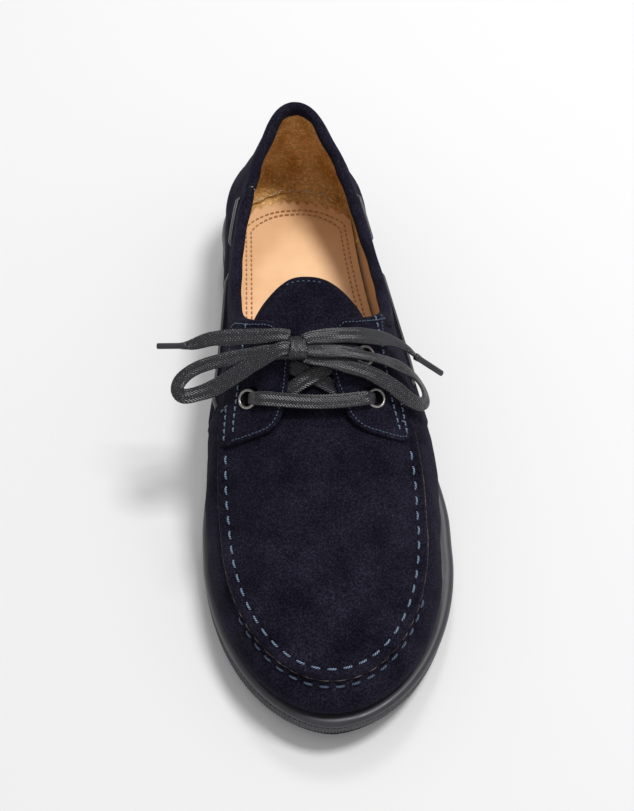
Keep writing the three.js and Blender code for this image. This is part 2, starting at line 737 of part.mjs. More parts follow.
addPiece('lace_knot', freeLace(KNOT, 8, [0, -0.4, 1], [0, -0.4, 1], KNOT_WIDTH, KNOT_THICKNESS), LACE);
addPiece('lace_loop_medial', freeLace(LOOP_MEDIAL, 26, [0, -0.5, 1], [0, -0.5, 1]), LACE);
addPiece('lace_loop_lateral', freeLace(LOOP_LATERAL, 26, [0.3, -0.4, 1], [0.3, -0.4, 1]), LACE);
addPiece('lace_end_medial', freeLace(END_MEDIAL, 10, [0, -0.5, 1], [0, -0.5, 1]), LACE);
addPiece('lace_end_lateral', freeLace(END_LATERAL, 12, [0, -0.4, 1], [0.5, -0.4, 1]), LACE);
addPiece('aglet_medial', aglet(END_MEDIAL, AGLET_MEDIAL_TIP), LACE);
addPiece('aglet_lateral', aglet(END_LATERAL, AGLET_LATERAL_TIP), LACE);
for (const piece of SIDE_LACES) addPiece(piece.name, sideLace(piece), SIDE_CORD);

export default shoe;
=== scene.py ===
"""A left boat shoe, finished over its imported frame.

Lengths are millimetres in the shoe's own axes (toe to -Y, outer side to +X, floor at Z = 0)
until to_frame() turns them into metres in the frame.
"""

import math

import bpy
import numpy as np
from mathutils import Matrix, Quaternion, Vector


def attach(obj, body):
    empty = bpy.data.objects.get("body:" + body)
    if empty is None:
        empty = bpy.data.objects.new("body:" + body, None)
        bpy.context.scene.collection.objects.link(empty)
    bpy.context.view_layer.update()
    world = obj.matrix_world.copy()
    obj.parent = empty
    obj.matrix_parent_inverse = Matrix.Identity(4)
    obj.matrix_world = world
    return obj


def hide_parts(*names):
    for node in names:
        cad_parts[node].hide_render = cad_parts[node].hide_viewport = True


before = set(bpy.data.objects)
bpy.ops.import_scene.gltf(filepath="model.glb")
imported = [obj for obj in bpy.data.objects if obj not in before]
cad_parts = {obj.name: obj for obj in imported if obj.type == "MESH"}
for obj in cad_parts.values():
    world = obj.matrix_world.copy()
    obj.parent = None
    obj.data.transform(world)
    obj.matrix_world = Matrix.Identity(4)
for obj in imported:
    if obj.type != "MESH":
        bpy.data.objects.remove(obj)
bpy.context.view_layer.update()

# ------------------------------------------------------------------ dimensions shared with the frame
PLACE = np.array([-3.55, -0.25, 0.0])
METRES = 0.001
GAP = 0.3
WALL = 2.2
FLAP_THICKNESS = 1.6
TONGUE_TOP = -3.25
TONGUE_THICKNESS = 2.2
INSOLE_THICKNESS = 3.0
LACE_WIDTH = 6.4
LACE_THICKNESS = 1.2
TOE_CENTRE = -65.0
HEEL_CENTRE = 106.0
FAN_ROUNDNESS = 2.0
TOE_POWER = 2.8
TOE_DROP = 0.5
BACK_LEAN = 0.2
LEAN_START = 12.0
LEAN_RANGE = 60.0
LEAN_POWER = 1.3
TUCK_HEIGHT = 18.0
TUCK_POWER = 1.7
END_TUCK = 2.0
TOP_ANGLE = math.pi / 2
FAN_ASPECT = 1.4  # stations round the toe and heel, closer together at the tips
SEEK_HALVINGS = 34  # enough to place a cut far finer than a thread
COLLAR_STEP = 1.2  # distance between stations along the collar


def table(columns, rows):
    """Named columns of numbers."""
    return dict(zip(columns.split(), np.array(rows, float).T))


UPPER = table("y medial lateral spine ridge power lean", [
    (-65, -49.5, 53.0, -0.5, 54.6, 2.05, 0.0),
    (-45, -50.5, 54.8, -1.4, 60.2, 2.12, 0.0),
    (-22, -49.0, 53.3, -2.5, 69.4, 2.2, 0.0),
    (0, -45.0, 48.5, -3.5, 82, 2.3, 0.1),
    (30, -39.5, 42.5, -3.5, 96, 2.7, 0.28),
    (60, -36.5, 37.5, -2.0, 108, 3.4, 0.45),
    (85, -34.5, 34.5, -1.0, 114, 3.5, 0.62),
    (106, -33.0, 33.0, 0.0, 118, 3.6, 0.84),
])
UPPER_TIPS = (-143.0, 144.0, 2.0)
EDGE = table("y junction feather tuck_medial tuck_lateral", [
    (-143, 13.8, 18.5, 2.0, 2.0),
    (-120, 9.5, 16.0, 1.5, 2.0),
    (-93, 7.6, 14.8, 1.0, 2.0),
    (-65, 7.4, 14.6, 1.0, 2.0),
    (-45, 7.8, 15.2, 2.0, 2.8),
    (-22, 8.8, 16.8, 4.5, 3.5),
    (0, 10.2, 18.6, 7.5, 4.5),
    (30, 12.2, 20.9, 7.5, 4.3),
    (60, 13.8, 23.1, 5.5, 4.0),
    (100, 15.2, 25.0, 4.0, 3.5),
    (144, 15.6, 25.5, 3.0, 3.0),
])
SOLE = table("y medial lateral", [
    (-65, -50.3, 57.0),
    (-45, -49.6, 57.2),
    (-22, -45.8, 53.2),
    (0, -39.6, 46.6),
    (30, -34.2, 40.6),
    (60, -33.0, 36.4),
    (85, -33.4, 34.8),
    (106, -34.4, 34.4),
])
SOLE_TIPS = (-145.5, 146.0, 1.88)
UNDERSIDE = np.array([
    (-150, 9.6), (-145, 8.2), (-136, 5.6), (-125, 3.0), (-114, 1.2), (-104, 0.3), (-96, 0.0), (-28, 0.0),
    (-14, 0.7), (4, 2.2), (22, 2.9), (40, 2.8), (47, 2.4), (49, 0.0), (141, 0.0), (150, 1.6),
])
COLLAR = table("y z", [
    (3, 96.0), (6, 90.5), (11, 83.5), (17, 76.5), (24, 69.8), (33, 65.2), (46, 62.2), (62, 61.6),
    (80, 64.0), (98, 68.6), (115, 74.6), (130, 80.0), (147, 83.0),
])
TONGUE = [
    (-14, -34), (8, -34), (14, -24), (20, -6), (24.5, 8), (24, 15), (19, 20), (8, 24.5),
    (-4, 26), (-16, 25), (-26, 21.5), (-31, 16), (-31, 8), (-26, -6), (-20, -24),
]
FLAP_MEDIAL = [
    (-24.5, 13.8), (-18.2, 9.6), (-14.4, 5.8), (-11.8, 1.4), (-11.0, -2.6), (-11.8, -7), (-13, -15),
    (-14.6, -22), (-17, -28), (-21, -31.6), (-27, -32.6), (-34, -32.2), (-40, -30.4), (-42, -27),
    (-40, -16), (-37.8, -4), (-36.2, 8), (-34.4, 22), (-29, 20.5),
]
FLAP_LATERAL = [
    (17.6, 13.8), (11.2, 9.6), (6.8, 5.6), (4.0, 1.2), (3.6, -3), (5.0, -8), (6.4, -15), (9, -22),
    (12, -28.5), (17, -32.6), (24, -34.2), (31, -34.6), (36, -33.6), (37.6, -30), (35.4, -18), (32, -6),
    (29.6, 6), (28, 22), (22.4, 20.5),
]
EYELETS = {
    "eyelet_medial_lower": (-28.9, -16.7),
    "eyelet_lateral_lower": (23.2, -19.7),
    "eyelet_medial_upper": (-23.2, -2.6),
    "eyelet_lateral_upper": (19.4, -3.9),
}

# Edge of the apron that is sewn over the toe wall, seen from above.
RIDGE = table("y medial lateral", [
    (-65, -42.4, 42.4),
    (-48, -43.0, 42.5),
    (-22, -41.4, 39.9),
    (0, -40.0, 38.0),
    (106, -33.0, 33.0),
])
RIDGE_TIPS = (-132.8, 144.0, 2.05)


# ------------------------------------------------------------------ form of the shoe
def at(source, column, y):
    """Value of a column at y, on a smooth cubic through the rows."""
    ys = source["y"]
    values = source[column]
    slopes = np.gradient(values)
    slopes[1:-1] = (values[2:] - values[:-2]) / (ys[2:] - ys[:-2])
    slopes[0] = (values[1] - values[0]) / (ys[1] - ys[0])
    slopes[-1] = (values[-1] - values[-2]) / (ys[-1] - ys[-2])
    y = np.clip(y, ys[0], ys[-1])
    i = np.clip(np.searchsorted(ys, y) - 1, 0, len(ys) - 2)
    h = ys[i + 1] - ys[i]
    u = (y - ys[i]) / h
    start = (2 * u**3 - 3 * u**2 + 1) * values[i] + (u**3 - 2 * u**2 + u) * h * slopes[i]
    end = (3 * u**2 - 2 * u**3) * values[i + 1] + (u**3 - u**2) * h * slopes[i + 1]
    return start + end


def smooth(low, high, value):
    """0 below low, 1 above high, eased between."""
    t = np.clip((np.asarray(value, float) - low) / (high - low), 0, 1)
    return t * t * (3 - 2 * t)


def raw_stations(count):
    """Stations from the heel's back round the inner side, the toe and the outer side: y and direction."""
    def fan(start, end, y, steps):
        a = np.linspace(start, end, steps, endpoint=False)
        base = np.floor(a / np.pi + 1e-9) * np.pi
        turn = a - base
        return np.full(steps, y), base + np.arctan2(FAN_ASPECT * np.sin(turn), np.cos(turn))

    pieces = [
        fan(math.pi / 2, math.pi, HEEL_CENTRE, count),
        (np.linspace(HEEL_CENTRE, TOE_CENTRE, 2 * count, endpoint=False), np.full(2 * count, math.pi)),
        fan(math.pi, 2 * math.pi, TOE_CENTRE, 2 * count),
        (np.linspace(TOE_CENTRE, HEEL_CENTRE, 2 * count, endpoint=False), np.full(2 * count, 2 * math.pi)),
        fan(2 * math.pi, 2.5 * math.pi, HEEL_CENTRE, count),
    ]
    return np.concatenate([p[0] for p in pieces]), np.concatenate([p[1] for p in pieces])


def stations_of(y, heading):
    """y, across and along for each station; straight runs point exactly sideways."""
    across = np.cos(heading)
    along = np.sin(heading)
    along[np.abs(along) < 1e-6] = 0.0
    return {"y": y, "dx": across, "dy": along, "heading": heading}


def reach(outline, tips, st):
    """Distance from the spine to an outline in each station's direction."""
    toe, heel, roundness = tips
    spine = at(UPPER, "spine", st["y"])
    half = np.where(
        st["dx"] > 0, at(outline, "lateral", st["y"]) - spine, spine - at(outline, "medial", st["y"])
    )
    length = np.where(st["dy"] < 0, st["y"] - toe, heel - st["y"])
    n = np.where(st["dy"] < 0, roundness, FAN_ROUNDNESS)
    total = (np.abs(st["dx"]) / half) ** n + (np.abs(st["dy"]) / length) ** n
    return np.where(st["dy"] == 0, half, total ** (-1 / n))


def ring(outline, tips, spacing, dense=None):
    """Stations at an even spacing along an outline; dense(y) above 1 packs them closer."""
    st = stations_of(*raw_stations(600))
    radius = reach(outline, tips, st)
    x = at(UPPER, "spine", st["y"]) + st["dx"] * radius
    y = st["y"] + st["dy"] * radius
    x = np.append(x, x[0])
    y = np.append(y, y[0])
    step = np.hypot(np.diff(x), np.diff(y))
    if dense is not None:
        step = step * dense(y[:-1])
    length = np.concatenate([[0], np.cumsum(step)])
    count = int(round(length[-1] / spacing))
    wanted = np.arange(count) * length[-1] / count
    ys = np.append(st["y"], HEEL_CENTRE)
    headings = np.append(st["heading"], 2.5 * math.pi)
    return stations_of(np.interp(wanted, length, ys), np.interp(wanted, length, headings))


def section(st, offset):
    """The upper's section at each station, grown outward by offset."""
    radius = reach(UPPER, UPPER_TIPS, st)
    y = st["y"] + st["dy"] * radius
    turned = st["dy"] ** 2
    power = at(UPPER, "power", st["y"])
    power = np.where(st["dy"] < 0, power + (TOE_POWER - power) * turned, power)
    lean = at(UPPER, "lean", st["y"])
    back_lean = lean + (BACK_LEAN - lean) * turned**3
    lean = np.where(st["dy"] > 0, back_lean, lean)
    side = np.where(st["dx"] < 0, at(EDGE, "tuck_medial", y), at(EDGE, "tuck_lateral", y))
    across = np.abs(st["dx"])
    feather = at(EDGE, "feather", y)
    return {
        "spine": at(UPPER, "spine", st["y"]),
        "radius": radius + offset,
        "feather": feather,
        "rise": at(UPPER, "ridge", st["y"]) + offset - feather,
        "power": power,
        "lean": lean,
        "drop": np.where(st["dy"] < 0, TOE_DROP * -st["dy"] / (TOE_CENTRE - UPPER_TIPS[0]), 0),
        "tuck": side * across + END_TUCK * (1 - across),
    }


def profile(form, angle):
    """Distance from the spine and height on a section, at an angle up from the feather line."""
    c = np.maximum(np.cos(angle), 0)
    s = np.maximum(np.sin(angle), 0)
    scale = (c ** form["power"] + s ** form["power"]) ** (1 / form["power"])
    height = form["rise"] * s / scale
    lean = form["lean"] * (np.maximum(height - LEAN_START, 0) / LEAN_RANGE) ** LEAN_POWER
    tuck = form["tuck"] * np.maximum(1 - height / TUCK_HEIGHT, 0) ** TUCK_POWER
    out = form["radius"] * c * (1 - lean) / scale - tuck * np.minimum(c * 4, 1)
    out = np.maximum(out, 0)
    return out, form["feather"] + height * (1 - form["drop"] * out)


def form_points(st, angles, offset):
    """Points of the form: one row per station, one column per angle."""
    form = {key: value[:, None] for key, value in section(st, offset).items()}
    out, z = profile(form, angles)
    x = form["spine"] + st["dx"][:, None] * out
    y = st["y"][:, None] + st["dy"][:, None] * out
    return np.stack([x, y, z], -1)


def seek(test, low, high):
    """Angle at which test(angle) turns from true to false, for every element."""
    for _ in range(SEEK_HALVINGS):
        middle = (low + high) / 2
        inside = test(middle)
        low = np.where(inside, middle, low)
        high = np.where(inside, high, middle)
    return (low + high) / 2


def over(x, y, offset):
    """Points of the form above places in plan, in the straight run."""
    x, y = np.broadcast_arrays(np.asarray(x, float), np.asarray(y, float))
    spine = at(UPPER, "spine", y)
    st = {"y": y, "dx": np.where(x < spine, -1.0, 1.0), "dy": np.zeros(x.shape)}
    form = section(st, offset)
    target = np.abs(x - spine)
    angle = seek(lambda a: profile(form, a)[0] > target, np.full(x.shape, 0.15), np.full(x.shape, TOP_ANGLE))
    return np.stack([x, y, profile(form, angle)[1]], -1)


def beside(side, y, z, offset):
    """Points of the form at given heights on one side."""
    y, z = np.broadcast_arrays(np.asarray(y, float), np.asarray(z, float))
    st = {"y": y, "dx": np.full(y.shape, float(side)), "dy": np.zeros(y.shape)}
    form = section(st, offset)
    angle = seek(lambda a: profile(form, a)[1] < z, np.zeros(y.shape), np.full(y.shape, TOP_ANGLE))
    return np.stack([form["spine"] + side * profile(form, angle)[0], y, z], -1)


def unit(vectors):
    return vectors / np.maximum(np.linalg.norm(vectors, axis=-1, keepdims=True), 1e-9)


def normal_over(x, y):
    step = 0.5
    along = over(x, y + step, 0) - over(x, y - step, 0)
    across = over(x + step, y, 0) - over(x - step, y, 0)
    return unit(np.cross(across, along))


def normal_beside(side, y, z):
    step = 0.5
    along = beside(side, y + step, z, 0) - beside(side, y - step, z, 0)
    up = beside(side, y, z + step, 0) - beside(side, y, z - step, 0)
    return unit(np.cross(along, up)) * side


def lifted(x, y, offset):
    """Points at a distance off the form, along its normal."""
    return over(x, y, 0) + normal_over(x, y) * np.asarray(offset, float)[..., None]


# ------------------------------------------------------------------ meshes
def to_frame(points):
    return (np.asarray(points, float) + PLACE) * METRES


class Shape:
    """Gathers points, faces and a surface coordinate (both in millimetres) for one piece."""

    def __init__(self):
        self.points = []
        self.faces = []
        self.uvs = []
        self.count = 0

    def add(self, points, faces, uv=None):
        points = np.asarray(points, float).reshape(-1, 3)
        uv = np.zeros((len(points), 2)) if uv is None else np.asarray(uv, float).reshape(-1, 2)
        self.points.append(points)
        self.uvs.append(uv)
        self.faces.extend((np.asarray(faces) + self.count).tolist())
        self.count += len(points)

    def grid(self, points, uv=None, wrap_columns=False, keep=None):
        """Quads over an array of points; keep(centres) drops the quads that it calls false."""
        points = np.asarray(points, float)
        rows, columns = points.shape[:2]
        index = np.arange(rows * columns).reshape(rows, columns)
        if wrap_columns:
            index = np.hstack([index, index[:, :1]])
        quads = np.stack([index[:-1, :-1], index[1:, :-1], index[1:, 1:], index[:-1, 1:]], -1).reshape(-1, 4)
        if keep is not None:
            quads = quads[keep(points.reshape(-1, 3)[quads].mean(axis=1))]
        self.add(points, quads, uv)

    def build(self, name, look, slot=None, replaces=()):
        mesh = bpy.data.meshes.new(name)
        mesh.from_pydata(to_frame(np.concatenate(self.points)).tolist(), [], self.faces)
        layer = mesh.uv_layers.new(name="surface")
        corners = np.zeros(len(mesh.loops), dtype=np.int32)
        mesh.loops.foreach_get("vertex_index", corners)
        layer.data.foreach_set("uv", np.concatenate(self.uvs)[corners].ravel())
        mesh.polygons.foreach_set("use_smooth", [True] * len(mesh.polygons))
        mesh.materials.append(look)
        mesh.validate()
        obj = bpy.data.objects.new(name, mesh)
        bpy.context.scene.collection.objects.link(obj)
        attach(obj, "root")
        if replaces:
            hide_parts(*replaces)
        return obj


def smooth_rows(rows, spacing=None, count=None):
    """Even rows along a smooth curve through the first three columns; other columns follow."""
    rows = np.asarray(rows, float)
    knots = np.concatenate([[0], np.cumsum(np.linalg.norm(np.diff(rows[:, :3], axis=0), axis=1) ** 0.75)])
    slopes = np.empty_like(rows)
    slopes[1:-1] = (rows[2:] - rows[:-2]) / (knots[2:] - knots[:-2])[:, None]
    slopes[0] = (rows[1] - rows[0]) / (knots[1] - knots[0])
    slopes[-1] = (rows[-1] - rows[-2]) / (knots[-1] - knots[-2])
    t = np.linspace(0, knots[-1], 40 * len(rows))
    i = np.clip(np.searchsorted(knots, t) - 1, 0, len(rows) - 2)
    h = (knots[i + 1] - knots[i])[:, None]
    u = (t - knots[i])[:, None] / h
    fine = ((2 * u**3 - 3 * u**2 + 1) * rows[i] + (u**3 - 2 * u**2 + u) * h * slopes[i]
            + (3 * u**2 - 2 * u**3) * rows[i + 1] + (u**3 - u**2) * h * slopes[i + 1])
    length = np.concatenate([[0], np.cumsum(np.linalg.norm(np.diff(fine[:, :3], axis=0), axis=1))])
    count = count or max(int(length[-1] / spacing) + 1, 4)
    wanted = np.linspace(0, length[-1], count)
    return np.stack([np.interp(wanted, length, fine[:, k]) for k in range(rows.shape[1])], -1)


def ribbon(shape, centres, ups, width, thickness, squareness=0.5, sides=20):
    """A flat or round strand with rounded edges; width and thickness may change along it."""
    count = len(centres)
    tangents = unit(np.gradient(centres, axis=0))
    across = unit(np.cross(tangents, ups))
    up = np.cross(across, tangents)
    width = np.broadcast_to(np.asarray(width, float), (count,))
    thickness = np.broadcast_to(np.asarray(thickness, float), (count,))
    turn = 2 * np.pi * np.arange(sides) / sides
    flat_cos = np.sign(np.cos(turn)) * np.abs(np.cos(turn)) ** squareness
    flat_sin = np.sign(np.sin(turn)) * np.abs(np.sin(turn)) ** squareness
    side_offset = flat_cos[None, :] * width[:, None] / 2
    points = (centres[:, None] + across[:, None] * side_offset[..., None]
              + up[:, None] * (flat_sin[None, :] * thickness[:, None] / 2)[..., None])
    along = np.concatenate([[0], np.cumsum(np.linalg.norm(np.diff(centres, axis=0), axis=1))])
    uv = np.stack([side_offset, np.repeat(along[:, None], sides, axis=1)], -1)
    first = shape.count
    shape.grid(points, uv, wrap_columns=True)
    last = first + (count - 1) * sides
    shape.faces.append([first + k for k in range(sides)])
    shape.faces.append([last + k for k in reversed(range(sides))])


def stitches(shape, path, normals, pitch, length, radius, lift=0.25, sink=1.0, start=0.5):
    """Separate stitches at an even pitch along a path; each one rises from the surface and dives back."""
    steps = np.concatenate([[0], np.cumsum(np.linalg.norm(np.diff(path, axis=0), axis=1))])
    places = np.arange(start * pitch, steps[-1] - 0.3 * pitch, pitch)
    t = np.linspace(-1, 1, 7)
    for place in places:
        s = place + t * length / 2
        centre = np.stack([np.interp(s, steps, path[:, k]) for k in range(3)], -1)
        up = unit(np.stack([np.interp(s, steps, normals[:, k]) for k in range(3)], -1))
        centre = centre + up * (lift + radius * 0.6 - (sink + radius) * np.abs(t[:, None]) ** 3)
        size = 2 * radius * np.sqrt(np.clip(1.05 - t**6, 0.1, 1))
        ribbon(shape, centre, up, size, size * 0.85, squareness=1.0, sides=8)


def inset_outline(outline, distance):
    """A closed outline in plan moved inward by a distance."""
    ahead = np.roll(outline, -3, axis=0) - np.roll(outline, 3, axis=0)
    inward = unit(np.stack([-ahead[:, 1], ahead[:, 0]], -1))
    area = np.sum(outline[:, 0] * np.roll(outline[:, 1], -1) - np.roll(outline[:, 0], -1) * outline[:, 1])
    return outline + inward * np.sign(area) * distance


def closed_curve(corners, count):
    """A smooth closed outline through corners, evenly spaced."""
    ring_rows = np.array([(x, y, 0.0) for x, y in corners])
    wrapped = np.vstack([ring_rows[-3:], ring_rows, ring_rows[:3]])
    fine = smooth_rows(wrapped, count=4000)[:, :2]
    start = np.argmin(np.linalg.norm(fine[:1500] - corners[0], axis=1))
    end = start + 1500 + np.argmin(np.linalg.norm(fine[start + 1500:] - corners[0], axis=1))
    loop = fine[start:end]
    length = np.concatenate([[0], np.cumsum(np.linalg.norm(np.diff(loop, axis=0), axis=1))])
    wanted = np.arange(count) * length[-1] / count
    return np.stack([np.interp(wanted, length, loop[:, k]) for k in range(2)], -1)


# ------------------------------------------------------------------ materials
class Look:
    """A principled material with short calls for the nodes that it uses."""

    def __init__(self, name, **sockets):
        self.material = bpy.data.materials.new(name)
        self.material.use_nodes = True
        self.tree = self.material.node_tree
        self.shader = self.tree.nodes["Principled BSDF"]
        for key, value in sockets.items():
            self.shader.inputs[key.replace("_", " ").title().replace("Ior", "IOR")].default_value = value
        coordinates = self.node("ShaderNodeTexCoord")
        self.place = coordinates.outputs["Object"]
        self.surface = coordinates.outputs["UV"]

    def node(self, kind, **settings):
        node = self.tree.nodes.new(kind)
        for key, value in settings.items():
            setattr(node, key, value)
        return node

    def link(self, source, target):
        self.tree.links.new(source, target)

    def noise(self, size, detail=2.0, roughness=0.55):
        """Noise whose features are about size millimetres across."""
        node = self.node("ShaderNodeTexNoise")
        node.inputs["Scale"].default_value = 1000.0 / size
        node.inputs["Detail"].default_value = detail
        node.inputs["Roughness"].default_value = roughness
        self.link(self.place, node.inputs["Vector"])
        return node.outputs["Fac"]

    def ramp(self, value, stops):
        """Colours by value: rows of position and colour."""
        node = self.node("ShaderNodeValToRGB")
        elements = node.color_ramp.elements
        while len(elements) < len(stops):
            elements.new(0.5)
        for element, (position, colour) in zip(elements, stops):
            element.position = position
            element.color = (*colour, 1.0) if len(colour) == 3 else colour
        self.link(value, node.inputs["Fac"])
        return node.outputs["Color"]

    def math(self, operation, first, second=0.0, third=0.0):
        node = self.node("ShaderNodeMath", operation=operation)
        for socket, value in zip(node.inputs, (first, second, third)):
            if isinstance(value, (int, float)):
                socket.default_value = value
            else:
                self.link(value, socket)
        return node.outputs["Value"]

    def mix(self, share, first, second, blend="MIX"):
        node = self.node("ShaderNodeMix", data_type="RGBA", blend_type=blend)
        for socket, value in (
            (node.inputs["Factor"], share), (node.inputs["A"], first), (node.inputs["B"], second)
        ):
            if isinstance(value, (int, float)):
                socket.default_value = value
            elif isinstance(value, tuple):
                socket.default_value = (*value, 1.0)
            else:
                self.link(value, socket)
        return node.outputs[2]

    def colour(self, value):
        self.link(value, self.shader.inputs["Base Color"])

    def roughness(self, value):
        self.link(value, self.shader.inputs["Roughness"])

    def bump(self, layers):
        """Stacks bumps: rows of height, distance in millimetres and strength."""
        previous = None
        for height, distance, strength in layers:
            node = self.node("ShaderNodeBump")
            node.inputs["Distance"].default_value = distance * METRES
            node.inputs["Strength"].default_value = strength
            self.link(height, node.inputs["Height"])
            if previous is not None:
                self.link(previous, node.inputs["Normal"])
            previous = node.outputs["Normal"]
        self.link(previous, self.shader.inputs["Normal"])


def suede(name, dark, light, sheen, tint, fibre=0.5, mottle=0.76):
    look = Look(name, roughness=0.95, specular_ior_level=0.06, sheen_weight=sheen, sheen_roughness=0.45)
    look.shader.inputs["Sheen Tint"].default_value = (*tint, 1.0)
    nap = look.noise(14.0, 3.0)
    speckle = look.noise(fibre * 1.6, 3.0, 0.7)
    fibres = look.noise(fibre, 2.0, 0.6)
    middle = tuple((a + b) / 2 for a, b in zip(dark, light))
    cloud = look.ramp(nap, [(0.32, dark), (0.52, middle), (0.7, light)])
    low = 1 - mottle
    high = 1 + 1.97 * mottle
    grain = look.ramp(
        speckle, [(0.32, (low, low, low)), (0.52, (0.92, 0.92, 0.92)), (0.7, (high, high, high))]
    )
    look.colour(look.mix(1.0, cloud, grain, "MULTIPLY"))
    look.bump([(fibres, 0.35, 0.7), (look.noise(2.6, 3.0), 0.3, 0.35)])
    return look.material


def leather(name, dark, light, roughness, grain):
    look = Look(name, roughness=roughness, specular_ior_level=0.4)
    tone = look.noise(22.0, 4.0)
    look.colour(look.ramp(tone, [(0.3, dark), (0.7, light)]))
    look.roughness(look.math("MULTIPLY_ADD", look.noise(6.0), 0.2, roughness - 0.1))
    look.bump([(look.noise(grain, 3.0), 0.12, 0.35), (look.noise(9.0, 2.0), 0.4, 0.25)])
    return look.material


def rubber(name, colour, roughness):
    look = Look(name, roughness=roughness, specular_ior_level=0.45)
    light = tuple(1.35 * c for c in colour)
    look.colour(look.ramp(look.noise(8.0, 4.0), [(0.3, colour), (0.75, light)]))
    look.roughness(look.math("MULTIPLY_ADD", look.noise(3.0, 3.0), 0.25, roughness - 0.12))
    look.bump([(look.noise(0.5, 2.0), 0.06, 0.3)])
    return look.material


def woven_lace(name):
    """Waxed flat braid: yarns run in two chevrons across the width; its colour holds painted shade and
    painted glints.
    """
    look = Look(name, roughness=0.3, specular_ior_level=0.5)
    split = look.node("ShaderNodeSeparateXYZ")
    look.link(look.surface, split.inputs["Vector"])
    chevron = look.math("PINGPONG", split.outputs["X"], 1.6)
    run = look.math("MULTIPLY_ADD", chevron, 1.15, split.outputs["Y"])
    yarn = look.math("SINE", look.math("MULTIPLY", run, 2 * math.pi / 1.25))
    column = look.math("SINE", look.math("MULTIPLY", split.outputs["X"], 2 * math.pi / 0.8))
    weave = look.math("MULTIPLY_ADD", column, 0.25, yarn)
    height = look.math("MULTIPLY_ADD", weave, 0.4, 0.5)
    # noise for the wax's roughness and bump, and for where painted glints fall in the colour
    wear_and_glints = look.noise(0.7, 3.0, 0.7)
    shade = look.math("MULTIPLY", height, look.math("MULTIPLY_ADD", wear_and_glints, 1.2, 0.1))
    # the lowest stop paints shade into the grooves between yarns, the top stop paints bright glints on the
    # yarn crowns; the middle stops are the lace's own dark colour
    look.colour(look.ramp(shade, [
        (0.05, (0.002, 0.002, 0.003)),
        (0.4, (0.009, 0.009, 0.012)),
        (0.65, (0.026, 0.026, 0.032)),
        (0.9, (0.3, 0.3, 0.32)),
    ]))
    look.roughness(look.math("MULTIPLY_ADD", wear_and_glints, 0.3, 0.16))
    look.bump([(height, 0.22, 0.75), (wear_and_glints, 0.12, 0.4)])
    return look.material


def thread(name, dark, light):
    """Two-ply twisted thread; its colour paints shade in the grooves between the plies and highlights on
    their crowns.
    """
    look = Look(name, roughness=0.6, specular_ior_level=0.3, sheen_weight=0.08)
    split = look.node("ShaderNodeSeparateXYZ")
    look.link(look.surface, split.inputs["Vector"])
    twist = look.math("MULTIPLY_ADD", split.outputs["X"], 1.0, split.outputs["Y"])
    ply = look.math(
        "MULTIPLY_ADD", look.math("SINE", look.math("MULTIPLY", twist, 2 * math.pi / 1.0)), 0.5, 0.5
    )
    # dark is painted shade in the grooves between the plies; light is the thread's own colour with a painted
    # highlight on the crowns
    look.colour(look.ramp(ply, [(0.1, dark), (0.75, light)]))
    look.bump([(ply, 0.15, 0.6)])
    return look.material


def metal(name, colour, roughness):
    look = Look(name, roughness=roughness, metallic=1.0)
    shade = look.noise(1.5, 3.0)
    dark = tuple(0.55 * c for c in colour)
    look.colour(look.ramp(shade, [(0.25, dark), (0.65, colour)]))
    look.roughness(look.math("MULTIPLY_ADD", shade, 0.25, roughness - 0.1))
    look.bump([(look.noise(0.4), 0.03, 0.25)])
    return look.material


NAVY = suede("navy suede", (0.0060, 0.0053, 0.0112), (0.0145, 0.0128, 0.0235), 0.035, (0.62, 0.58, 0.9))
CUT_EDGE = suede(
    "cut edge of the apron", (0.035, 0.026, 0.026), (0.12, 0.088, 0.08), 0.1, (1.0, 0.8, 0.6), 0.8
)
GOLD = suede("golden suede lining", (0.50, 0.25, 0.055), (0.88, 0.58, 0.25), 0.25, (1.0, 0.85, 0.6), 0.9, 0.3)
INSOLE_LEATHER = leather("insole leather", (0.80, 0.47, 0.235), (0.90, 0.57, 0.31), 0.5, 0.9)
LINING = leather("lining leather", (0.60, 0.36, 0.19), (0.74, 0.48, 0.27), 0.5, 1.2)
RIBBED = rubber("ribbed rubber", (0.062, 0.061, 0.07), 0.6)
BAND = rubber("smooth rubber", (0.030, 0.030, 0.036), 0.4)
BLACK_SEAM = rubber("sole groove", (0.004, 0.004, 0.005), 0.7)
# the braid's colour holds painted shade in its grooves and painted glints on its yarns
LACE = woven_lace("waxed braid")
# each thread's first colour is painted shade between its plies, the second its own colour with a painted
# highlight
BLUE_THREAD = thread("light blue thread", (0.025, 0.04, 0.07), (0.2, 0.275, 0.39))
DIM_THREAD = thread("dark blue thread", (0.016, 0.024, 0.042), (0.08, 0.12, 0.19))
TAN_THREAD = thread("tan thread", (0.38, 0.19, 0.075), (0.62, 0.35, 0.16))
PALE_THREAD = thread("pale thread", (0.35, 0.28, 0.2), (0.75, 0.68, 0.58))
AGLET = rubber("aglet sleeve", (0.022, 0.022, 0.026), 0.35)
SIDE_CORD = leather("side lace leather", (0.018, 0.018, 0.021), (0.055, 0.055, 0.062), 0.33, 0.7)
GUNMETAL = metal("gunmetal", (0.42, 0.40, 0.38), 0.32)


# ------------------------------------------------------------------ camera, floor and light
CAMERA_PLACE = (-66.65, -439.35, 684.0)
CAMERA_AIM = (-1.0, 2.0, 30.0)
CAMERA_ROLL = 5.0  # keeps the shoe as upright in the view as it is seen beside its pair
LENS = 79.0


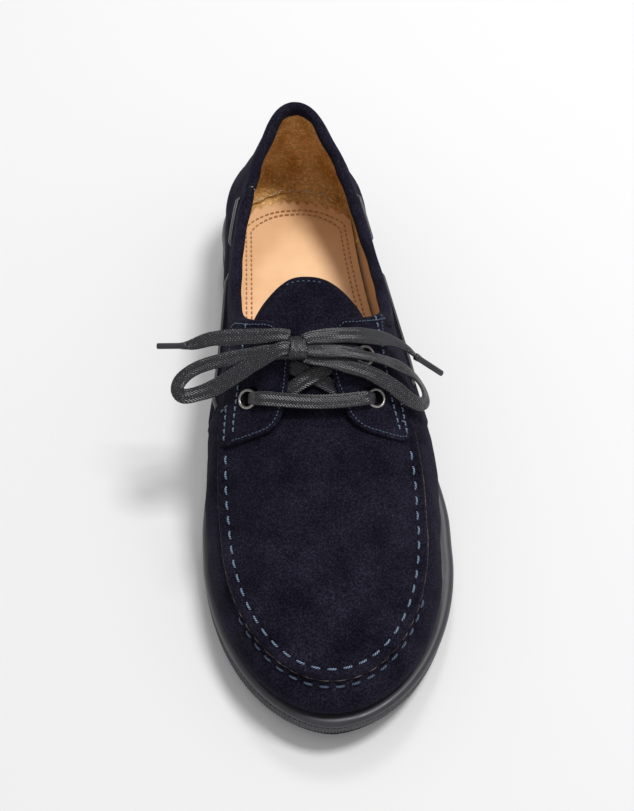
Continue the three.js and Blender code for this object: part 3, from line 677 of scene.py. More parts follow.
def camera():
    data = bpy.data.cameras.new("camera")
    data.lens = LENS
    data.sensor_width = 36.0
    data.clip_start = 0.01
    obj = bpy.data.objects.new("camera", data)
    place = Vector(CAMERA_PLACE) * METRES
    aim = Vector(CAMERA_AIM) * METRES
    obj.location = place
    turn = (aim - place).to_track_quat("-Z", "Y") @ Quaternion((0.0, 0.0, 1.0), math.radians(CAMERA_ROLL))
    obj.rotation_euler = turn.to_euler()
    bpy.context.scene.collection.objects.link(obj)
    bpy.context.scene.camera = obj


def area_light(name, place, aim, size, power):
    data = bpy.data.lights.new(name, "AREA")
    data.shape = "DISK"
    data.size = size
    data.energy = power
    obj = bpy.data.objects.new(name, data)
    obj.location = place
    obj.rotation_euler = (Vector(aim) - Vector(place)).to_track_quat("-Z", "Y").to_euler()
    bpy.context.scene.collection.objects.link(obj)


def studio():
    mesh = bpy.data.meshes.new("floor")
    half = 3.0
    mesh.from_pydata(
        [(-half, -half, 0), (half, -half, 0), (half, half, 0), (-half, half, 0)], [], [(0, 1, 2, 3)]
    )
    floor = bpy.data.objects.new("floor", mesh)
    bpy.context.scene.collection.objects.link(floor)
    paper = Look("pale floor", roughness=0.9)
    paper.colour(paper.ramp(paper.noise(400.0), [(0.0, (0.745, 0.745, 0.745)), (1.0, (0.765, 0.765, 0.765))]))
    mesh.materials.append(paper.material)
    world = bpy.data.worlds.new("studio")
    world.use_nodes = True
    background = world.node_tree.nodes["Background"]
    background.inputs["Color"].default_value = (1.0, 1.0, 1.0, 1.0)
    background.inputs["Strength"].default_value = 0.5
    bpy.context.scene.world = world
    bpy.context.scene.view_settings.view_transform = "Standard"
    area_light("key", (0.42, 0.2, 1.5), (0, 0, 0.03), 0.4, 15.0)
    area_light("back", (0.05, 0.95, 1.35), (0, 0, 0.06), 0.3, 5.0)
    area_light("front fill", (-0.3, -1.2, 1.0), (0, 0, 0.03), 1.0, 0.8)


camera()
studio()


# ------------------------------------------------------------------ bow: free cords
# Rows: x, y, z of the centre, upward direction of the flat side, width.
LOOP_MEDIAL = [
    (-16.2, -6.8, 84.6, 0, -0.5, 1, 6.0), (-22, -6.0, 83.2, 0, -0.5, 1, 6.4),
    (-30, -5.2, 80.2, 0, -0.5, 1, 6.4), (-41.6, -4.8, 76.4, 0, -0.6, 1, 6.0),
    (-50.9, -6.0, 73.4, -0.2, -0.7, 0.9, 5.6), (-57, -8.9, 70.6, -0.5, -0.6, 0.8, 5.8),
    (-59.4, -12.4, 68, -0.6, -0.5, 0.8, 6.0), (-57.1, -15.2, 66.5, -0.3, -0.5, 0.9, 6.2),
    (-50.9, -14.7, 67, 0, -0.45, 1, 6.8), (-43, -13.4, 69.8, 0, -0.5, 1, 7.0),
    (-32, -10.8, 77.2, 0, -0.5, 1, 7.0), (-22, -8.6, 84, 0, -0.5, 1, 6.6),
    (-16.2, -7.4, 87, 0, -0.5, 1, 6.0),
]
LOOP_LATERAL = [
    (-3.4, -9.4, 82.8, 0.2, -0.45, 1, 5.6), (3, -10.6, 82.6, 0.25, -0.4, 1, 6.2),
    (10.7, -12.4, 81.2, 0.3, -0.4, 1, 6.4), (21, -14.2, 77.4, 0.3, -0.4, 1, 6.6),
    (30.6, -16.8, 71.4, 0.3, -0.4, 1, 6.8), (38, -19.6, 65.2, 0.35, -0.45, 1, 6.6),
    (43.8, -19.2, 60, 0.6, -0.4, 0.8, 5.8), (46.8, -15.0, 57.6, 0.8, 0.0, 0.6, 5.4),
    (45.6, -9.6, 59.2, 0.8, 0.3, 0.7, 5.4), (41.4, -6.2, 63.6, 0.6, 0.2, 0.8, 5.4),
    (34.3, -6.0, 70.4, 0.4, -0.2, 1, 5.2), (26, -7.6, 77.9, 0.3, 0.1, 1, 5.2),
    (17.5, -8.2, 82.4, 0.25, 0.1, 1, 5.2), (11.5, -8.2, 84.6, 0.2, -0.1, 1, 5.4),
    (3, -8.0, 85.8, 0.1, -0.4, 1, 5.8), (-3.4, -7.6, 85.9, 0.1, -0.4, 1, 5.4),
]
END_MEDIAL = [
    (-16.2, -0.6, 87.8, 0, -0.5, 1, 5.8), (-22, 0.2, 86.3, 0, -0.5, 1, 6.4),
    (-33.3, 2.8, 82.4, 0, -0.5, 1, 6.8), (-44, 5.0, 78.8, 0, -0.5, 1, 6.5),
    (-52.2, 4.9, 75.4, 0, -0.5, 1, 4.6), (-56.2, 5.2, 74.2, 0, -0.5, 1, 2.9),
]
END_LATERAL = [
    (-3.4, -3.5, 89.2, 0, -0.45, 1, 5.6), (4, -2.9, 89.1, 0.05, -0.45, 1, 6.2),
    (9, -2.3, 88.5, 0.1, -0.45, 1, 6.6), (17.5, -0.5, 85.5, 0.2, -0.45, 1, 6.8),
    (26.5, 1.8, 80, 0.3, -0.45, 1, 6.2), (32.6, 3.2, 75.6, 0.4, -0.4, 0.9, 4.6),
    (39.2, 3.2, 70, 0.5, -0.2, 0.9, 3.2), (44.3, 1.5, 65, 0.8, 0.3, 0.5, 3.0),
]
# Where a strand goes into the knot: x, y, z, up and width before its first and after its last row.
INTO_KNOT = {
    "bow_loop_medial": ([(-11.8, -7.0, 85.0, 0, -0.5, 1, 5.2)], [(-11.8, -7.2, 87.2, 0, -0.5, 1, 5.4)]),
    "bow_loop_lateral": ([(-6.4, -8.8, 83.4, 0.2, -0.45, 1, 5.2)], [(-6.4, -7.2, 86.2, 0.1, -0.4, 1, 5.2)]),
    "bow_end_medial": ([(-11.8, -1.6, 88.0, 0, -0.5, 1, 5.0)], []),
    "bow_end_lateral": ([(-6.4, -4.4, 88.6, 0, -0.45, 1, 5.0)], []),
}
AGLET_MEDIAL_TIP = (-67.3, 7.1, 72.0)
AGLET_LATERAL_TIP = (55.8, -0.3, 55.0)
KNOT_CENTRE = np.array([-8.9, -6.2, 85.8])


def bow_strand(name, rows, node):
    """One loop or end of the bow; returns its piece and its centre line in millimetres."""
    first, last = INTO_KNOT[name]
    path = smooth_rows([*first, *rows, *last], spacing=1.0)
    shape = Shape()
    swell = 1 + 0.05 * np.sin(path[:, 0] * 0.4) * np.sin(path[:, 2] * 0.3)
    ribbon(shape, path[:, :3], path[:, 3:6], path[:, 6] * swell, LACE_THICKNESS, sides=24)
    return shape.build(name, LACE, "lace", (node,)), path[:, :3]


def aglet(name, lace_path, tip, node):
    """A smooth sleeve that tapers on to the lace and ends square."""
    start = lace_path[-1]
    tip = np.array(tip)
    heading = unit(tip - start)
    length = np.linalg.norm(tip - start)
    stops = np.array([-1.5, -0.8, 0.4, 1.6, 0.5 * length, length - 0.5, length - 0.1, length])
    widths = np.array([3.1, 3.2, 3.0, 2.6, 2.6, 2.6, 2.2, 1.4])
    shape = Shape()
    ups = np.tile([0.0, -0.4, 1.0], (len(stops), 1))
    ribbon(shape, start + heading * stops[:, None], ups, widths, widths * 0.8, squareness=0.9, sides=18)
    return shape.build(name, AGLET, "aglet", (node,))


def knot():
    """The wrap over the two loops, on a short core that the strands enter."""
    shape = Shape()
    count = 16
    core = np.linspace(KNOT_CENTRE + (-4.6, 0.3, 0.0), KNOT_CENTRE + (4.4, -0.3, 0.2), count)
    swell = 1 - 0.4 * np.abs(np.linspace(-1, 1, count)) ** 3
    ribbon(
        shape, core, np.tile([0, -0.4, 1.0], (count, 1)), 9.6 * swell, 4.6 * swell, squareness=0.8, sides=24
    )
    count = 40
    turn = np.linspace(-0.25 * math.pi, 1.22 * math.pi, count)
    across = np.linspace(0.6, -0.6, count)
    along = np.cos(turn) * 5.7
    up = np.sin(turn) * 3.6 - 0.24 * along
    centres = KNOT_CENTRE + np.stack([across, along, up], -1)
    ups = np.stack([np.zeros(count), np.cos(turn), np.sin(turn) * 1.3], -1)
    ribbon(shape, centres, ups, 6.9 + 0.5 * np.cos(turn * 2), LACE_THICKNESS * 1.1, sides=24)
    return shape.build("bow_knot", LACE, "lace", ("lace_knot",))


def bow():
    """The bow's four strands, its knot and its two sleeves."""
    knot_piece = knot()
    loop_medial, path = bow_strand("bow_loop_medial", LOOP_MEDIAL, "lace_loop_medial")
    loop_lateral, path = bow_strand("bow_loop_lateral", LOOP_LATERAL, "lace_loop_lateral")
    end_medial, path = bow_strand("bow_end_medial", END_MEDIAL, "lace_end_medial")
    sleeve = aglet("bow_aglet_medial", path, AGLET_MEDIAL_TIP, "aglet_medial")
    end_lateral, path = bow_strand("bow_end_lateral", END_LATERAL, "lace_end_lateral")
    sleeve = aglet("bow_aglet_lateral", path, AGLET_LATERAL_TIP, "aglet_lateral")


bow()


# ------------------------------------------------------------------ sole
RIB_PITCH = 1.35
RIB_DEPTH = 0.6
RIB_SAMPLES = 6
TREAD_ROWS = (-118, -108, -98, -88, -78, -68, -58, -48, -38, -28, 60, 70, 80, 90, 100, 110, 120)


def outline_points(outline, tips, st, inset):
    radius = reach(outline, tips, st) - inset
    return at(UPPER, "spine", st["y"]) + st["dx"] * radius, st["y"] + st["dy"] * radius


def underside(y):
    return np.interp(y, UNDERSIDE[:, 0], UNDERSIDE[:, 1])


# Levels up the outsole's edge: inset from the outline, share of the height and depth of the ribs.
OUTSOLE_EDGE = [
    (2.2, 1.0, 0), (0.5, 1.0, 0), (0.1, 0.94, 0), (0.05, 0.9, 0.6), (0.0, 0.84, 1), (0, 0.6, 1),
    (0.05, 0.35, 1), (0.2, 0.16, 1), (0.5, 0.06, 0.6), (1.2, 0.0, 0.0), (3.0, 0.0, 0.0),
]


def outsole():
    st = ring(SOLE, SOLE_TIPS, RIB_PITCH / RIB_SAMPLES)
    count = len(st["y"])
    rib = 0.5 - 0.5 * np.cos(2 * np.pi * np.arange(count) / RIB_SAMPLES + 0.4)
    levels = []
    for inset, share, depth in OUTSOLE_EDGE:
        x, y = outline_points(SOLE, SOLE_TIPS, st, inset + RIB_DEPTH * depth * rib)
        bottom = underside(y)
        top = at(EDGE, "junction", y) - 0.1
        levels.append(np.stack([x, y, bottom + (top - bottom) * share], -1))
    shape = Shape()
    shape.grid(np.array(levels), wrap_columns=True)
    toe_tip = np.linspace(-145.4, -140, 12, endpoint=False)
    heel_tip = np.linspace(141, 145.9, 12)
    ys = np.concatenate([toe_tip, np.arange(-140, 141, 0.55), heel_tip])
    half_toe = 1 - (np.clip(TOE_CENTRE - ys, 0, None) / (TOE_CENTRE - SOLE_TIPS[0])) ** SOLE_TIPS[2]
    half_heel = 1 - (np.clip(ys - HEEL_CENTRE, 0, None) / (SOLE_TIPS[1] - HEEL_CENTRE)) ** FAN_ROUNDNESS
    share = np.clip(half_toe, 0, 1) ** (1 / SOLE_TIPS[2]) * np.clip(half_heel, 0, 1) ** (1 / FAN_ROUNDNESS)
    middle = at(UPPER, "spine", ys)
    left = middle + (at(SOLE, "medial", ys) - middle) * share + 1.4
    right = middle + (at(SOLE, "lateral", ys) - middle) * share - 1.4
    right = np.maximum(right, left + 0.1)
    u = np.linspace(0, 1, 46)
    x = left[:, None] + (right - left)[:, None] * u
    y = np.repeat(ys[:, None], len(u), axis=1)
    rows = np.array(TREAD_ROWS)
    wave = 1.2 * np.sin(x * 2 * np.pi / 9.0)
    distance = np.min(np.abs(y[..., None] + wave[..., None] - rows), axis=-1)
    rim = smooth(5.0, 7.0, np.minimum(x - left[:, None], right[:, None] - x))
    z = underside(y) + 1.3 * (1 - smooth(0.7, 1.3, distance)) * rim
    shape.grid(np.stack([x, y, z], -1)[:, ::-1])
    shape.build("outsole_ribbed", RIBBED, "rubber_ribbed", ("outsole",))


def midsole():
    st = ring(SOLE, SOLE_TIPS, 1.6)
    rows = [
        (6.0, 0.03), (2.6, 0.03), (1.0, 0.03), (0.75, 0.06), (0.35, 0.12), (0.0, 0.22), (-0.35, 0.36),
        (-0.5, 0.5), (-0.42, 0.64), (-0.1, 0.78), (0.5, 0.9), (1.2, 0.97), (2.0, 1.0), (3.0, 1.0),
        (4.5, 0.97), (7.0, 0.95), (12.0, 0.95),
    ]
    fine = smooth_rows([(inset * 3, share * 9, 0) for inset, share in rows], count=52)
    levels = []
    for inset, share in fine[:, :2] / np.array([3.0, 9.0]):
        x, y = outline_points(SOLE, SOLE_TIPS, st, inset)
        low = at(EDGE, "junction", y)
        high = at(EDGE, "feather", y) - 0.3
        levels.append(np.stack([x, y, low + (high - low) * share], -1))
    shape = Shape()
    shape.grid(np.array(levels)[::-1], wrap_columns=True)
    shape.build("midsole_band", BAND, "rubber_smooth", ("midsole",))
    groove = Shape()
    x, y = outline_points(SOLE, SOLE_TIPS, st, 0.55)
    path = np.stack([x, y, at(EDGE, "junction", y) + 0.12], -1)
    path = np.vstack([path, path[:1]])
    out = np.stack(
        [np.append(st["dx"], st["dx"][0]), np.append(st["dy"], st["dy"][0]), np.zeros(len(path))], -1
    )
    stitches(groove, path, out, 2.4, 1.9, 0.34, lift=0.1, sink=0.3)
    groove.build("sole_seam_stitches", BLACK_SEAM)


outsole()
midsole()


# ------------------------------------------------------------------ upper
RIDGE_ROWS = np.array([
    -9, -7.5, -6.2, -5.2, -4.4, -3.8, -3.2, -2.6, -2.0, -1.5, -1.0, -0.6, -0.35, -0.15, 0.0, 0.15, 0.35,
    0.7, 1.1, 1.6, 2.1, 2.6, 3.1, 3.6, 4.0, 4.4, 4.8, 5.2, 5.7, 6.4, 7.5, 9,
])
# Relief of the apron's edge: distance up from the cut edge, and height.
RIDGE_RELIEF = np.array([
    (-9, 0.0), (-5.5, -0.05), (-3.4, -0.25), (-2.6, -0.5), (-1.6, -0.1), (-0.5, -0.15), (-0.15, 0.0),
    (0.15, 1.35), (0.7, 1.75), (1.8, 1.9), (2.8, 1.6), (3.8, 0.75), (4.5, 0.15), (5.2, 0.3), (6.4, 0.35),
    (7.5, 0.2), (9, 0.0),
])
LOW_ROWS = 12
HIGH_ROWS = 30
THROAT_HALF = 13.5
THROAT_FRONT = -20.0
COLLAR_TRIM = 1.4
PLUG_DIP = 3.3
STITCH_PITCH = 6.6
# Soft creases: two ends in plan, half width and depth (a negative depth is a ridge).
CREASES = [
    (-36, -48, 30, -54, 6.0, 0.55), (-30, -66, 36, -58, 5.0, -0.35), (-34, -74, 20, -78, 7.0, 0.3),
    (-20, -100, 24, -96, 9.0, 0.35), (-44, -40, -50, -64, 3.5, 0.7), (-47, -20, -50, -40, 3.0, 0.6),
    (46, -30, 53, -52, 4.0, 0.7), (50, -62, 52, -84, 5.0, 0.4), (-40, 30, -38, 60, 5.0, 0.5),
    (41, 20, 38, 52, 5.0, 0.5), (-20, -122, 22, -124, 4.0, 0.25), (-8, -44, -2, -96, 8.0, -0.3),
]


def section_tops(st, points, out):
    """Sample index (with fraction) at which each station's section meets the throat or the collar."""
    z = points[..., 2]
    y = points[..., 1]
    line = np.where(y >= 3, at(COLLAR, "z", y) - COLLAR_TRIM, 1e3)
    open_half = THROAT_HALF * np.sqrt(smooth(THROAT_FRONT, THROAT_FRONT + 8, st["y"]))
    straight = (st["dy"] == 0)
    throat = np.where((straight & (st["y"] > THROAT_FRONT))[:, None], open_half[:, None] - out, -1e3)
    heel_side = (st["y"] > THROAT_FRONT) & (st["dy"] >= 0)
    over_line = np.where(heel_side[:, None], z - line, -1e3)
    value = np.maximum(throat, over_line)
    crossed = value >= 0
    last = value.shape[1] - 1
    index = np.where(crossed.any(axis=1), crossed.argmax(axis=1), last)
    before = np.maximum(index - 1, 0)
    rows = np.arange(len(index))
    low = value[rows, before]
    high = value[rows, index]
    fraction = np.where(high > low + 1e-9, -low / np.maximum(high - low, 1e-9), 1.0)
    return np.where(crossed.any(axis=1), before + np.clip(fraction, 0, 1), float(last))


def arc_lengths(points):
    steps = np.linalg.norm(np.diff(points, axis=1), axis=-1)
    return np.concatenate([np.zeros((len(points), 1)), np.cumsum(steps, axis=1)], axis=1)


def at_index(values, index):
    columns = np.arange(values.shape[1])
    return np.array([np.interp(i, columns, row) for i, row in zip(index, values)])


SAMPLE_ANGLES = np.linspace(0, TOP_ANGLE, 361)


def shell_sections(st, offset):
    """Samples, arc lengths, the top of each section and the arc length of the apron's edge."""
    form = {key: value[:, None] for key, value in section(st, offset).items()}
    out, _ = profile(form, SAMPLE_ANGLES)
    points = form_points(st, SAMPLE_ANGLES, offset)
    arcs = arc_lengths(points)
    top = at_index(arcs, section_tops(st, points, out))
    edge_out = reach(RIDGE, RIDGE_TIPS, st)
    edge_arc = np.array([np.interp(-e, -o, a) for e, o, a in zip(edge_out, out, arcs)])
    level_arc = np.array([np.interp(42.0, z, a) for z, a in zip(points[..., 2], arcs)])
    back = np.where(st["dy"] > 0, 1.0, smooth(-26, 4, st["y"]))
    return points, arcs, top, edge_arc + (level_arc - edge_arc) * back


def resample(points, arcs, wanted):
    """Points at wanted arc lengths: one row of lengths per station."""
    return np.stack([
        np.stack([np.interp(w, a, p[:, k]) for k in range(3)], -1) for p, a, w in zip(points, arcs, wanted)])


def grid_normals(points):
    """Outward normals of a closed ring of sections."""
    around = np.roll(points, -1, axis=0) - np.roll(points, 1, axis=0)
    up = np.gradient(points, axis=1)
    normals = unit(np.cross(around, up))
    pinched = np.linalg.norm(around[:, -1:], axis=-1) < 1e-6
    normals[:, -1] = np.where(pinched, normals[:, -2:-1], normals[:, -1:])[:, 0]
    return normals


def crease_depth(points):
    """Sum of the soft creases at each point."""
    depth = np.zeros(points.shape[:-1])
    for x0, y0, x1, y1, width, deep in CREASES:
        start = np.array([x0, y0])
        run = np.array([x1 - x0, y1 - y0])
        offset = points[..., :2] - start
        t = (offset @ run) / (run @ run)
        nearest = start + np.clip(t, 0, 1)[..., None] * run
        distance = np.linalg.norm(points[..., :2] - nearest, axis=-1)
        fade = smooth(-0.25, 0.25, t) * (1 - smooth(0.75, 1.25, t))
        depth += deep * np.exp(-(distance / width) ** 2) * fade
    return depth


def throat_dip(points):
    """Share of the dip under the fronts of the flaps, in the shell and in its lining."""
    between = 1 - smooth(17, 32, np.abs(points[..., 0] + 3.0))
    along = smooth(-37, -19, points[..., 1]) * (1 - smooth(0, 12, points[..., 1]))
    return along * between * (points[..., 2] > 50)


def waver(points, size, seed):
    """A gentle unevenness of hand-made leather, between -1 and 1."""
    x, y, z = (points[..., k] / size for k in range(3))
    return (np.sin(1.7 * x + 0.8 * y + seed) * np.sin(1.3 * y - 0.9 * z + 2.1 * seed)
            + 0.5 * np.sin(3.1 * x - 1.9 * y + 0.7 * seed) * np.sin(2.7 * z + 1.1 * x - seed)) / 1.5


EDGE_ROW = LOW_ROWS + int(np.argmin(np.abs(RIDGE_ROWS)))  # the row on the apron's cut edge


class Upper:
    """The hollow upper: its outer grid is kept so that stitches and seams can lie on it."""

    def __init__(self):
        self.st = ring(RIDGE, RIDGE_TIPS, 0.8, lambda y: 1 - 0.72 * smooth(-24, 0, y))
        st = self.st
        points, arcs, top, edge = shell_sections(st, 0.0)
        low = np.linspace(0, 1, LOW_ROWS, endpoint=False)[None, :] * (edge + RIDGE_ROWS[0])[:, None]
        zone = edge[:, None] + RIDGE_ROWS[None, :]
        start = (edge + RIDGE_ROWS[-1])[:, None]
        high = start + np.linspace(0, 1, HIGH_ROWS + 1)[None, 1:] * (top[:, None] - start)
        wanted = np.minimum(np.hstack([low, zone, high]), top[:, None])
        self.base = resample(points, arcs, wanted)
        self.normals = grid_normals(self.base)
        self.from_edge = wanted - edge[:, None]
        self.girth = np.concatenate(
            [[0], np.cumsum(np.linalg.norm(np.diff(self.base[:, EDGE_ROW], axis=0), axis=1))]
        )
        self.surface = self.base + self.normals * self.relief()[..., None]

    def front(self):
        """1 along the apron's sewn edge, fading to 0 where the flaps cover its ends."""
        st = self.st
        return np.where(st["dy"] < 0, 1.0, np.where(st["dy"] > 0, 0.0, 1 - smooth(-27, -21, st["y"])))

    def relief(self):
        p = self.base
        front = self.front()[:, None]
        toe = smooth(-85, -118, p[:, EDGE_ROW, 1])[:, None]
        ripple = np.cos(2 * np.pi * self.girth / STITCH_PITCH)[:, None]
        shift = 0.35 * toe * ripple
        height = np.interp(self.from_edge + shift, RIDGE_RELIEF[:, 0], RIDGE_RELIEF[:, 1])
        pinch = np.exp(-((self.from_edge - 3.6) / 1.6) ** 2) * 0.28 * (0.5 + 0.5 * ripple)
        pucker = np.exp(-((self.from_edge + 4.0) / 2.2) ** 2) * 0.4 * (0.5 + 0.5 * ripple) * (
            0.25 + 0.75 * toe
        )
        relief = (height - pinch - pucker) * front
        relief = relief - PLUG_DIP * throat_dip(p)
        relief = relief - crease_depth(p) * smooth(0, 6, np.abs(self.from_edge - 2))
        seam_y = np.interp(p[..., 2], [16, 26, 38, 46], [2.0, -6.0, -15.0, -20.0])
        quarter = smooth(seam_y - 0.9, seam_y + 0.9, p[..., 1]) * (p[..., 2] < 60)
        relief = relief + 0.8 * quarter * (1 - smooth(2.0, 6.0, self.from_edge))
        return relief + 0.16 * waver(p, 9.0, 1.3) + 0.1 * waver(p, 4.0, 4.1)

    def build(self):
        points, arcs, top, _ = shell_sections(self.st, -WALL)
        wanted = np.linspace(0, 1, 16)[None, :] * top[:, None]
        inner = resample(points, arcs, wanted)
        inner = inner - grid_normals(inner) * (PLUG_DIP * throat_dip(inner))[..., None]
        outer_rim = self.surface[:, -1]
        rim = [outer_rim + (inner[:, -1] - outer_rim) * t for t in (0.0, 0.5, 1.0)]
        lift = unit(np.gradient(self.surface, axis=1)[:, -1])
        rim[1] = rim[1] + lift * 0.5 * (np.abs(outer_rim - inner[:, -1]).max(axis=1) > 1.0)[:, None]
        shape = Shape()
        shape.grid(np.swapaxes(self.surface, 0, 1)[::-1], wrap_columns=True)
        shape.grid(np.array(rim)[::-1], wrap_columns=True)
        shape.build("upper_suede", NAVY, "suede", ("upper",))
        lining = Shape()
        lining.grid(np.swapaxes(inner, 0, 1), wrap_columns=True)
        lining.build("side_lining", LINING, "insole_leather")

    def line(self, distance, first, last):
        """Path and normals at a distance up from the cut edge, between two stations."""
        zone = slice(LOW_ROWS, LOW_ROWS + len(RIDGE_ROWS))

        def across(rows):
            return np.array([
                [np.interp(distance, RIDGE_ROWS, row[zone, k]) for k in range(3)] for row in rows
            ])

        return across(self.surface[first:last]), across(self.normals[first:last])

    def span(self, medial_y, lateral_y):
        """First and last station between two places on the apron's edge, round the toe."""
        y = self.base[:, EDGE_ROW, 1]
        heading = self.st["heading"]
        limit = np.where(heading < 1.5 * math.pi, medial_y, lateral_y)
        inside = np.where(y < limit)[0]
        return inside[0], inside[-1]


upper = Upper()
upper.build()


def apron_details():
    """The light cut edge of the apron and the two rows of hand stitches."""
    first, last = upper.span(-27, -27)
    path, normals = upper.line(0.12, first, last)
    edge = Shape()
    inner_path, _ = upper.line(0.35, first, last)
    outward = unit(path - inner_path)
    ribbon(
        edge, path + normals * 0.12 + outward * 0.02, outward, 0.42 + 0.1 * np.sin(path[:, 0] * 0.9), 0.16,
        sides=8
    )
    edge.build("apron_cut_edge", CUT_EDGE, "suede")
    first, last = upper.span(-33.5, -33.5)
    path, normals = upper.line(4.6, first, last)
    rows = Shape()
    stitches(rows, path, normals, STITCH_PITCH, 4.5, 0.48, lift=0.25, sink=0.9, start=0.35)
    rows.build("apron_stitches", BLUE_THREAD, "lace")
    first, last = upper.span(-100, -93)
    path, normals = upper.line(-2.5, first, last)
    rows = Shape()
    stitches(rows, path, normals, STITCH_PITCH, 4.3, 0.5, lift=0.3, sink=0.9, start=0.4)
    rows.build("toe_wall_stitches", DIM_THREAD, "lace")


apron_details()


# ------------------------------------------------------------------ flaps and tongue
LEAF_ROWS = np.array([0.0, 0.12, 0.3, 0.6, 1.0, 1.6])
LEAF_EDGE_DROP = np.array([0.5, 0.26, 0.12, 0.04, 0.01, 0.0])


def clipped_outline(corners, count, centre, line_gap):
    """A flap's outline in plan, cut back to stay below the collar line; a little frayed."""
    outline = closed_curve(corners, count)
    centre = np.array(centre)
    reach_out = outline - centre

    def below(share):
        p = centre + reach_out * share[:, None]
        z = over(p[:, 0], p[:, 1], 0)[:, 2]
        return (p[:, 1] < 3) | (z < at(COLLAR, "z", p[:, 1]) - line_gap)

    share = np.where(below(np.ones(count)), 1.0, seek(below, np.zeros(count), np.ones(count)))
    kernel = np.array([1, 2, 3, 4, 3, 2, 1]) / 16
    share = np.convolve(np.concatenate([share[-3:], share, share[:3]]), kernel, "valid")
    turn = np.arange(count) * 2 * np.pi / count
    fray = 0.09 * np.sin(37 * turn) + 0.07 * np.sin(83 * turn + 1.0) + 0.05 * np.sin(131 * turn + 2.0)
    return centre + reach_out * share[:, None] + unit(reach_out) * fray[:, None]


def leaf(name, outline, centre, bottom, top, look, holes=(), replaces=(), droop=None, spacing=1.1):
    """A sheet of leather over the form, with rounded edges and round holes."""
    centre = np.array(centre)
    out = outline - centre
    radius = np.linalg.norm(out, axis=1)
    depth = np.concatenate([LEAF_ROWS, np.arange(2.4, radius.max(), spacing)])
    share = np.maximum(1 - depth[:, None] / radius[None, :], 0.0)
    share[len(LEAF_ROWS):] = np.maximum(
        1 - depth[len(LEAF_ROWS):, None] / radius.max() * np.ones_like(radius)[None, :], 0.0)
    share = np.minimum.accumulate(share, axis=0)
    plan = centre + out[None] * share[..., None]
    drop = np.interp(depth, LEAF_ROWS, LEAF_EDGE_DROP)[:, None] * (top - bottom)
    surface = over(plan[..., 0], plan[..., 1], 0)
    normals = normal_over(plan[..., 0], plan[..., 1])
    sag = 0 if droop is None else droop(surface)
    wave = 0.12 * waver(surface, 7.0, 2.2) + 0.07 * waver(surface, 3.5, 0.4)
    upper_side = surface + normals * (top - drop + wave - sag)[..., None]
    under_side = surface + normals * (bottom + drop * 0.8 - sag)[..., None]
    shape = Shape()

    def clear(centres):
        inside = np.zeros(len(centres), bool)
        for x, y in holes:
            inside |= np.hypot(centres[:, 0] - x, centres[:, 1] - y) < 3.7
        return ~inside

    both = np.concatenate([under_side[::-1], upper_side])
    shape.grid(both, wrap_columns=True, keep=clear)
    shape.build(name, look, "suede", replaces)
    return surface, normals


def row_on_form(points, lift):
    """Path and normals over the form through places in plan."""
    plan = smooth_rows([(x, y, 0.0) for x, y in points], spacing=0.5)[:, :2]
    return lifted(plan[:, 0], plan[:, 1], np.full(len(plan), lift)), normal_over(plan[:, 0], plan[:, 1])


FLAP_TOP = GAP + FLAP_THICKNESS
FLAPS = {
    "medial": (FLAP_MEDIAL, (-26.0, -8.0)),
    "lateral": (FLAP_LATERAL, (18.5, -9.0)),
}


def flaps():
    fine = Shape()
    bold = Shape()
    for side, (corners, centre) in FLAPS.items():
        outline = clipped_outline(corners, 420, centre, 1.5)
        holes = [EYELETS[f"eyelet_{side}_lower"], EYELETS[f"eyelet_{side}_upper"]]
        inner_x = (lambda p: -p[..., 0] - 5.0) if side == "medial" else (lambda p: p[..., 0] + 1.0)
        droop = lambda p: 0.9 * (1 - smooth(4.0, 14.0, inner_x(p))) * smooth(-37, -24, p[..., 1])
        leaf(
            f"eyestay_{side}_suede", outline, centre, GAP, FLAP_TOP, NAVY, holes, (f"eyestay_{side}",),
            droop
        )
        inset = inset_outline(outline, 1.6)
        towards_middle = inset[:, 0] > centre[0] if side == "medial" else inset[:, 0] < centre[0]
        wanted = (towards_middle | (inset[:, 1] < -26) | (inset[:, 1] > 6)) & (np.abs(inset[:, 0]) < 36)
        run = np.flatnonzero(wanted)
        gap = int(np.argmax(np.diff(run, append=run[0] + len(inset))))
        run = np.roll(run, -gap - 1)
        path = inset[run]
        surface = over(path[:, 0], path[:, 1], 0)
        lift = FLAP_TOP - droop(surface) + 0.02
        normals = normal_over(path[:, 0], path[:, 1])
        stitches(fine, surface + normals * lift[:, None], normals, 1.75, 1.15, 0.26, lift=0.08, sink=0.45)
    for points in SEAM_ROWS:
        path, normals = row_on_form(points, FLAP_TOP + 0.02)
        stitches(bold, path, normals, 3.0, 2.2, 0.36, lift=0.12, sink=0.5)
    fine.build("flap_edge_stitches", DIM_THREAD, "lace")
    bold.build("flap_seam_stitches", BLUE_THREAD, "lace")


SEAM_ROWS = [
    [(-27.4, 15.0), (-29.6, 4.0), (-32.2, -10.0), (-34.6, -22.0), (-35.2, -27.5)],
    [(-37.2, -15.0), (-38.2, -22.0), (-39.0, -29.0)],
    [(-39.6, -15.5), (-36.6, -14.8)],
    [(24.4, 15.0), (26.4, 6.0), (28.0, -6.0), (30.0, -18.0), (33.0, -31.0)],
    [(33.4, -14.5), (34.6, -22.0), (35.9, -31.5)],
    [(33.0, -15.4), (36.0, -16.4)],
    [(33.6, -26.0), (37.2, -26.6)],
]


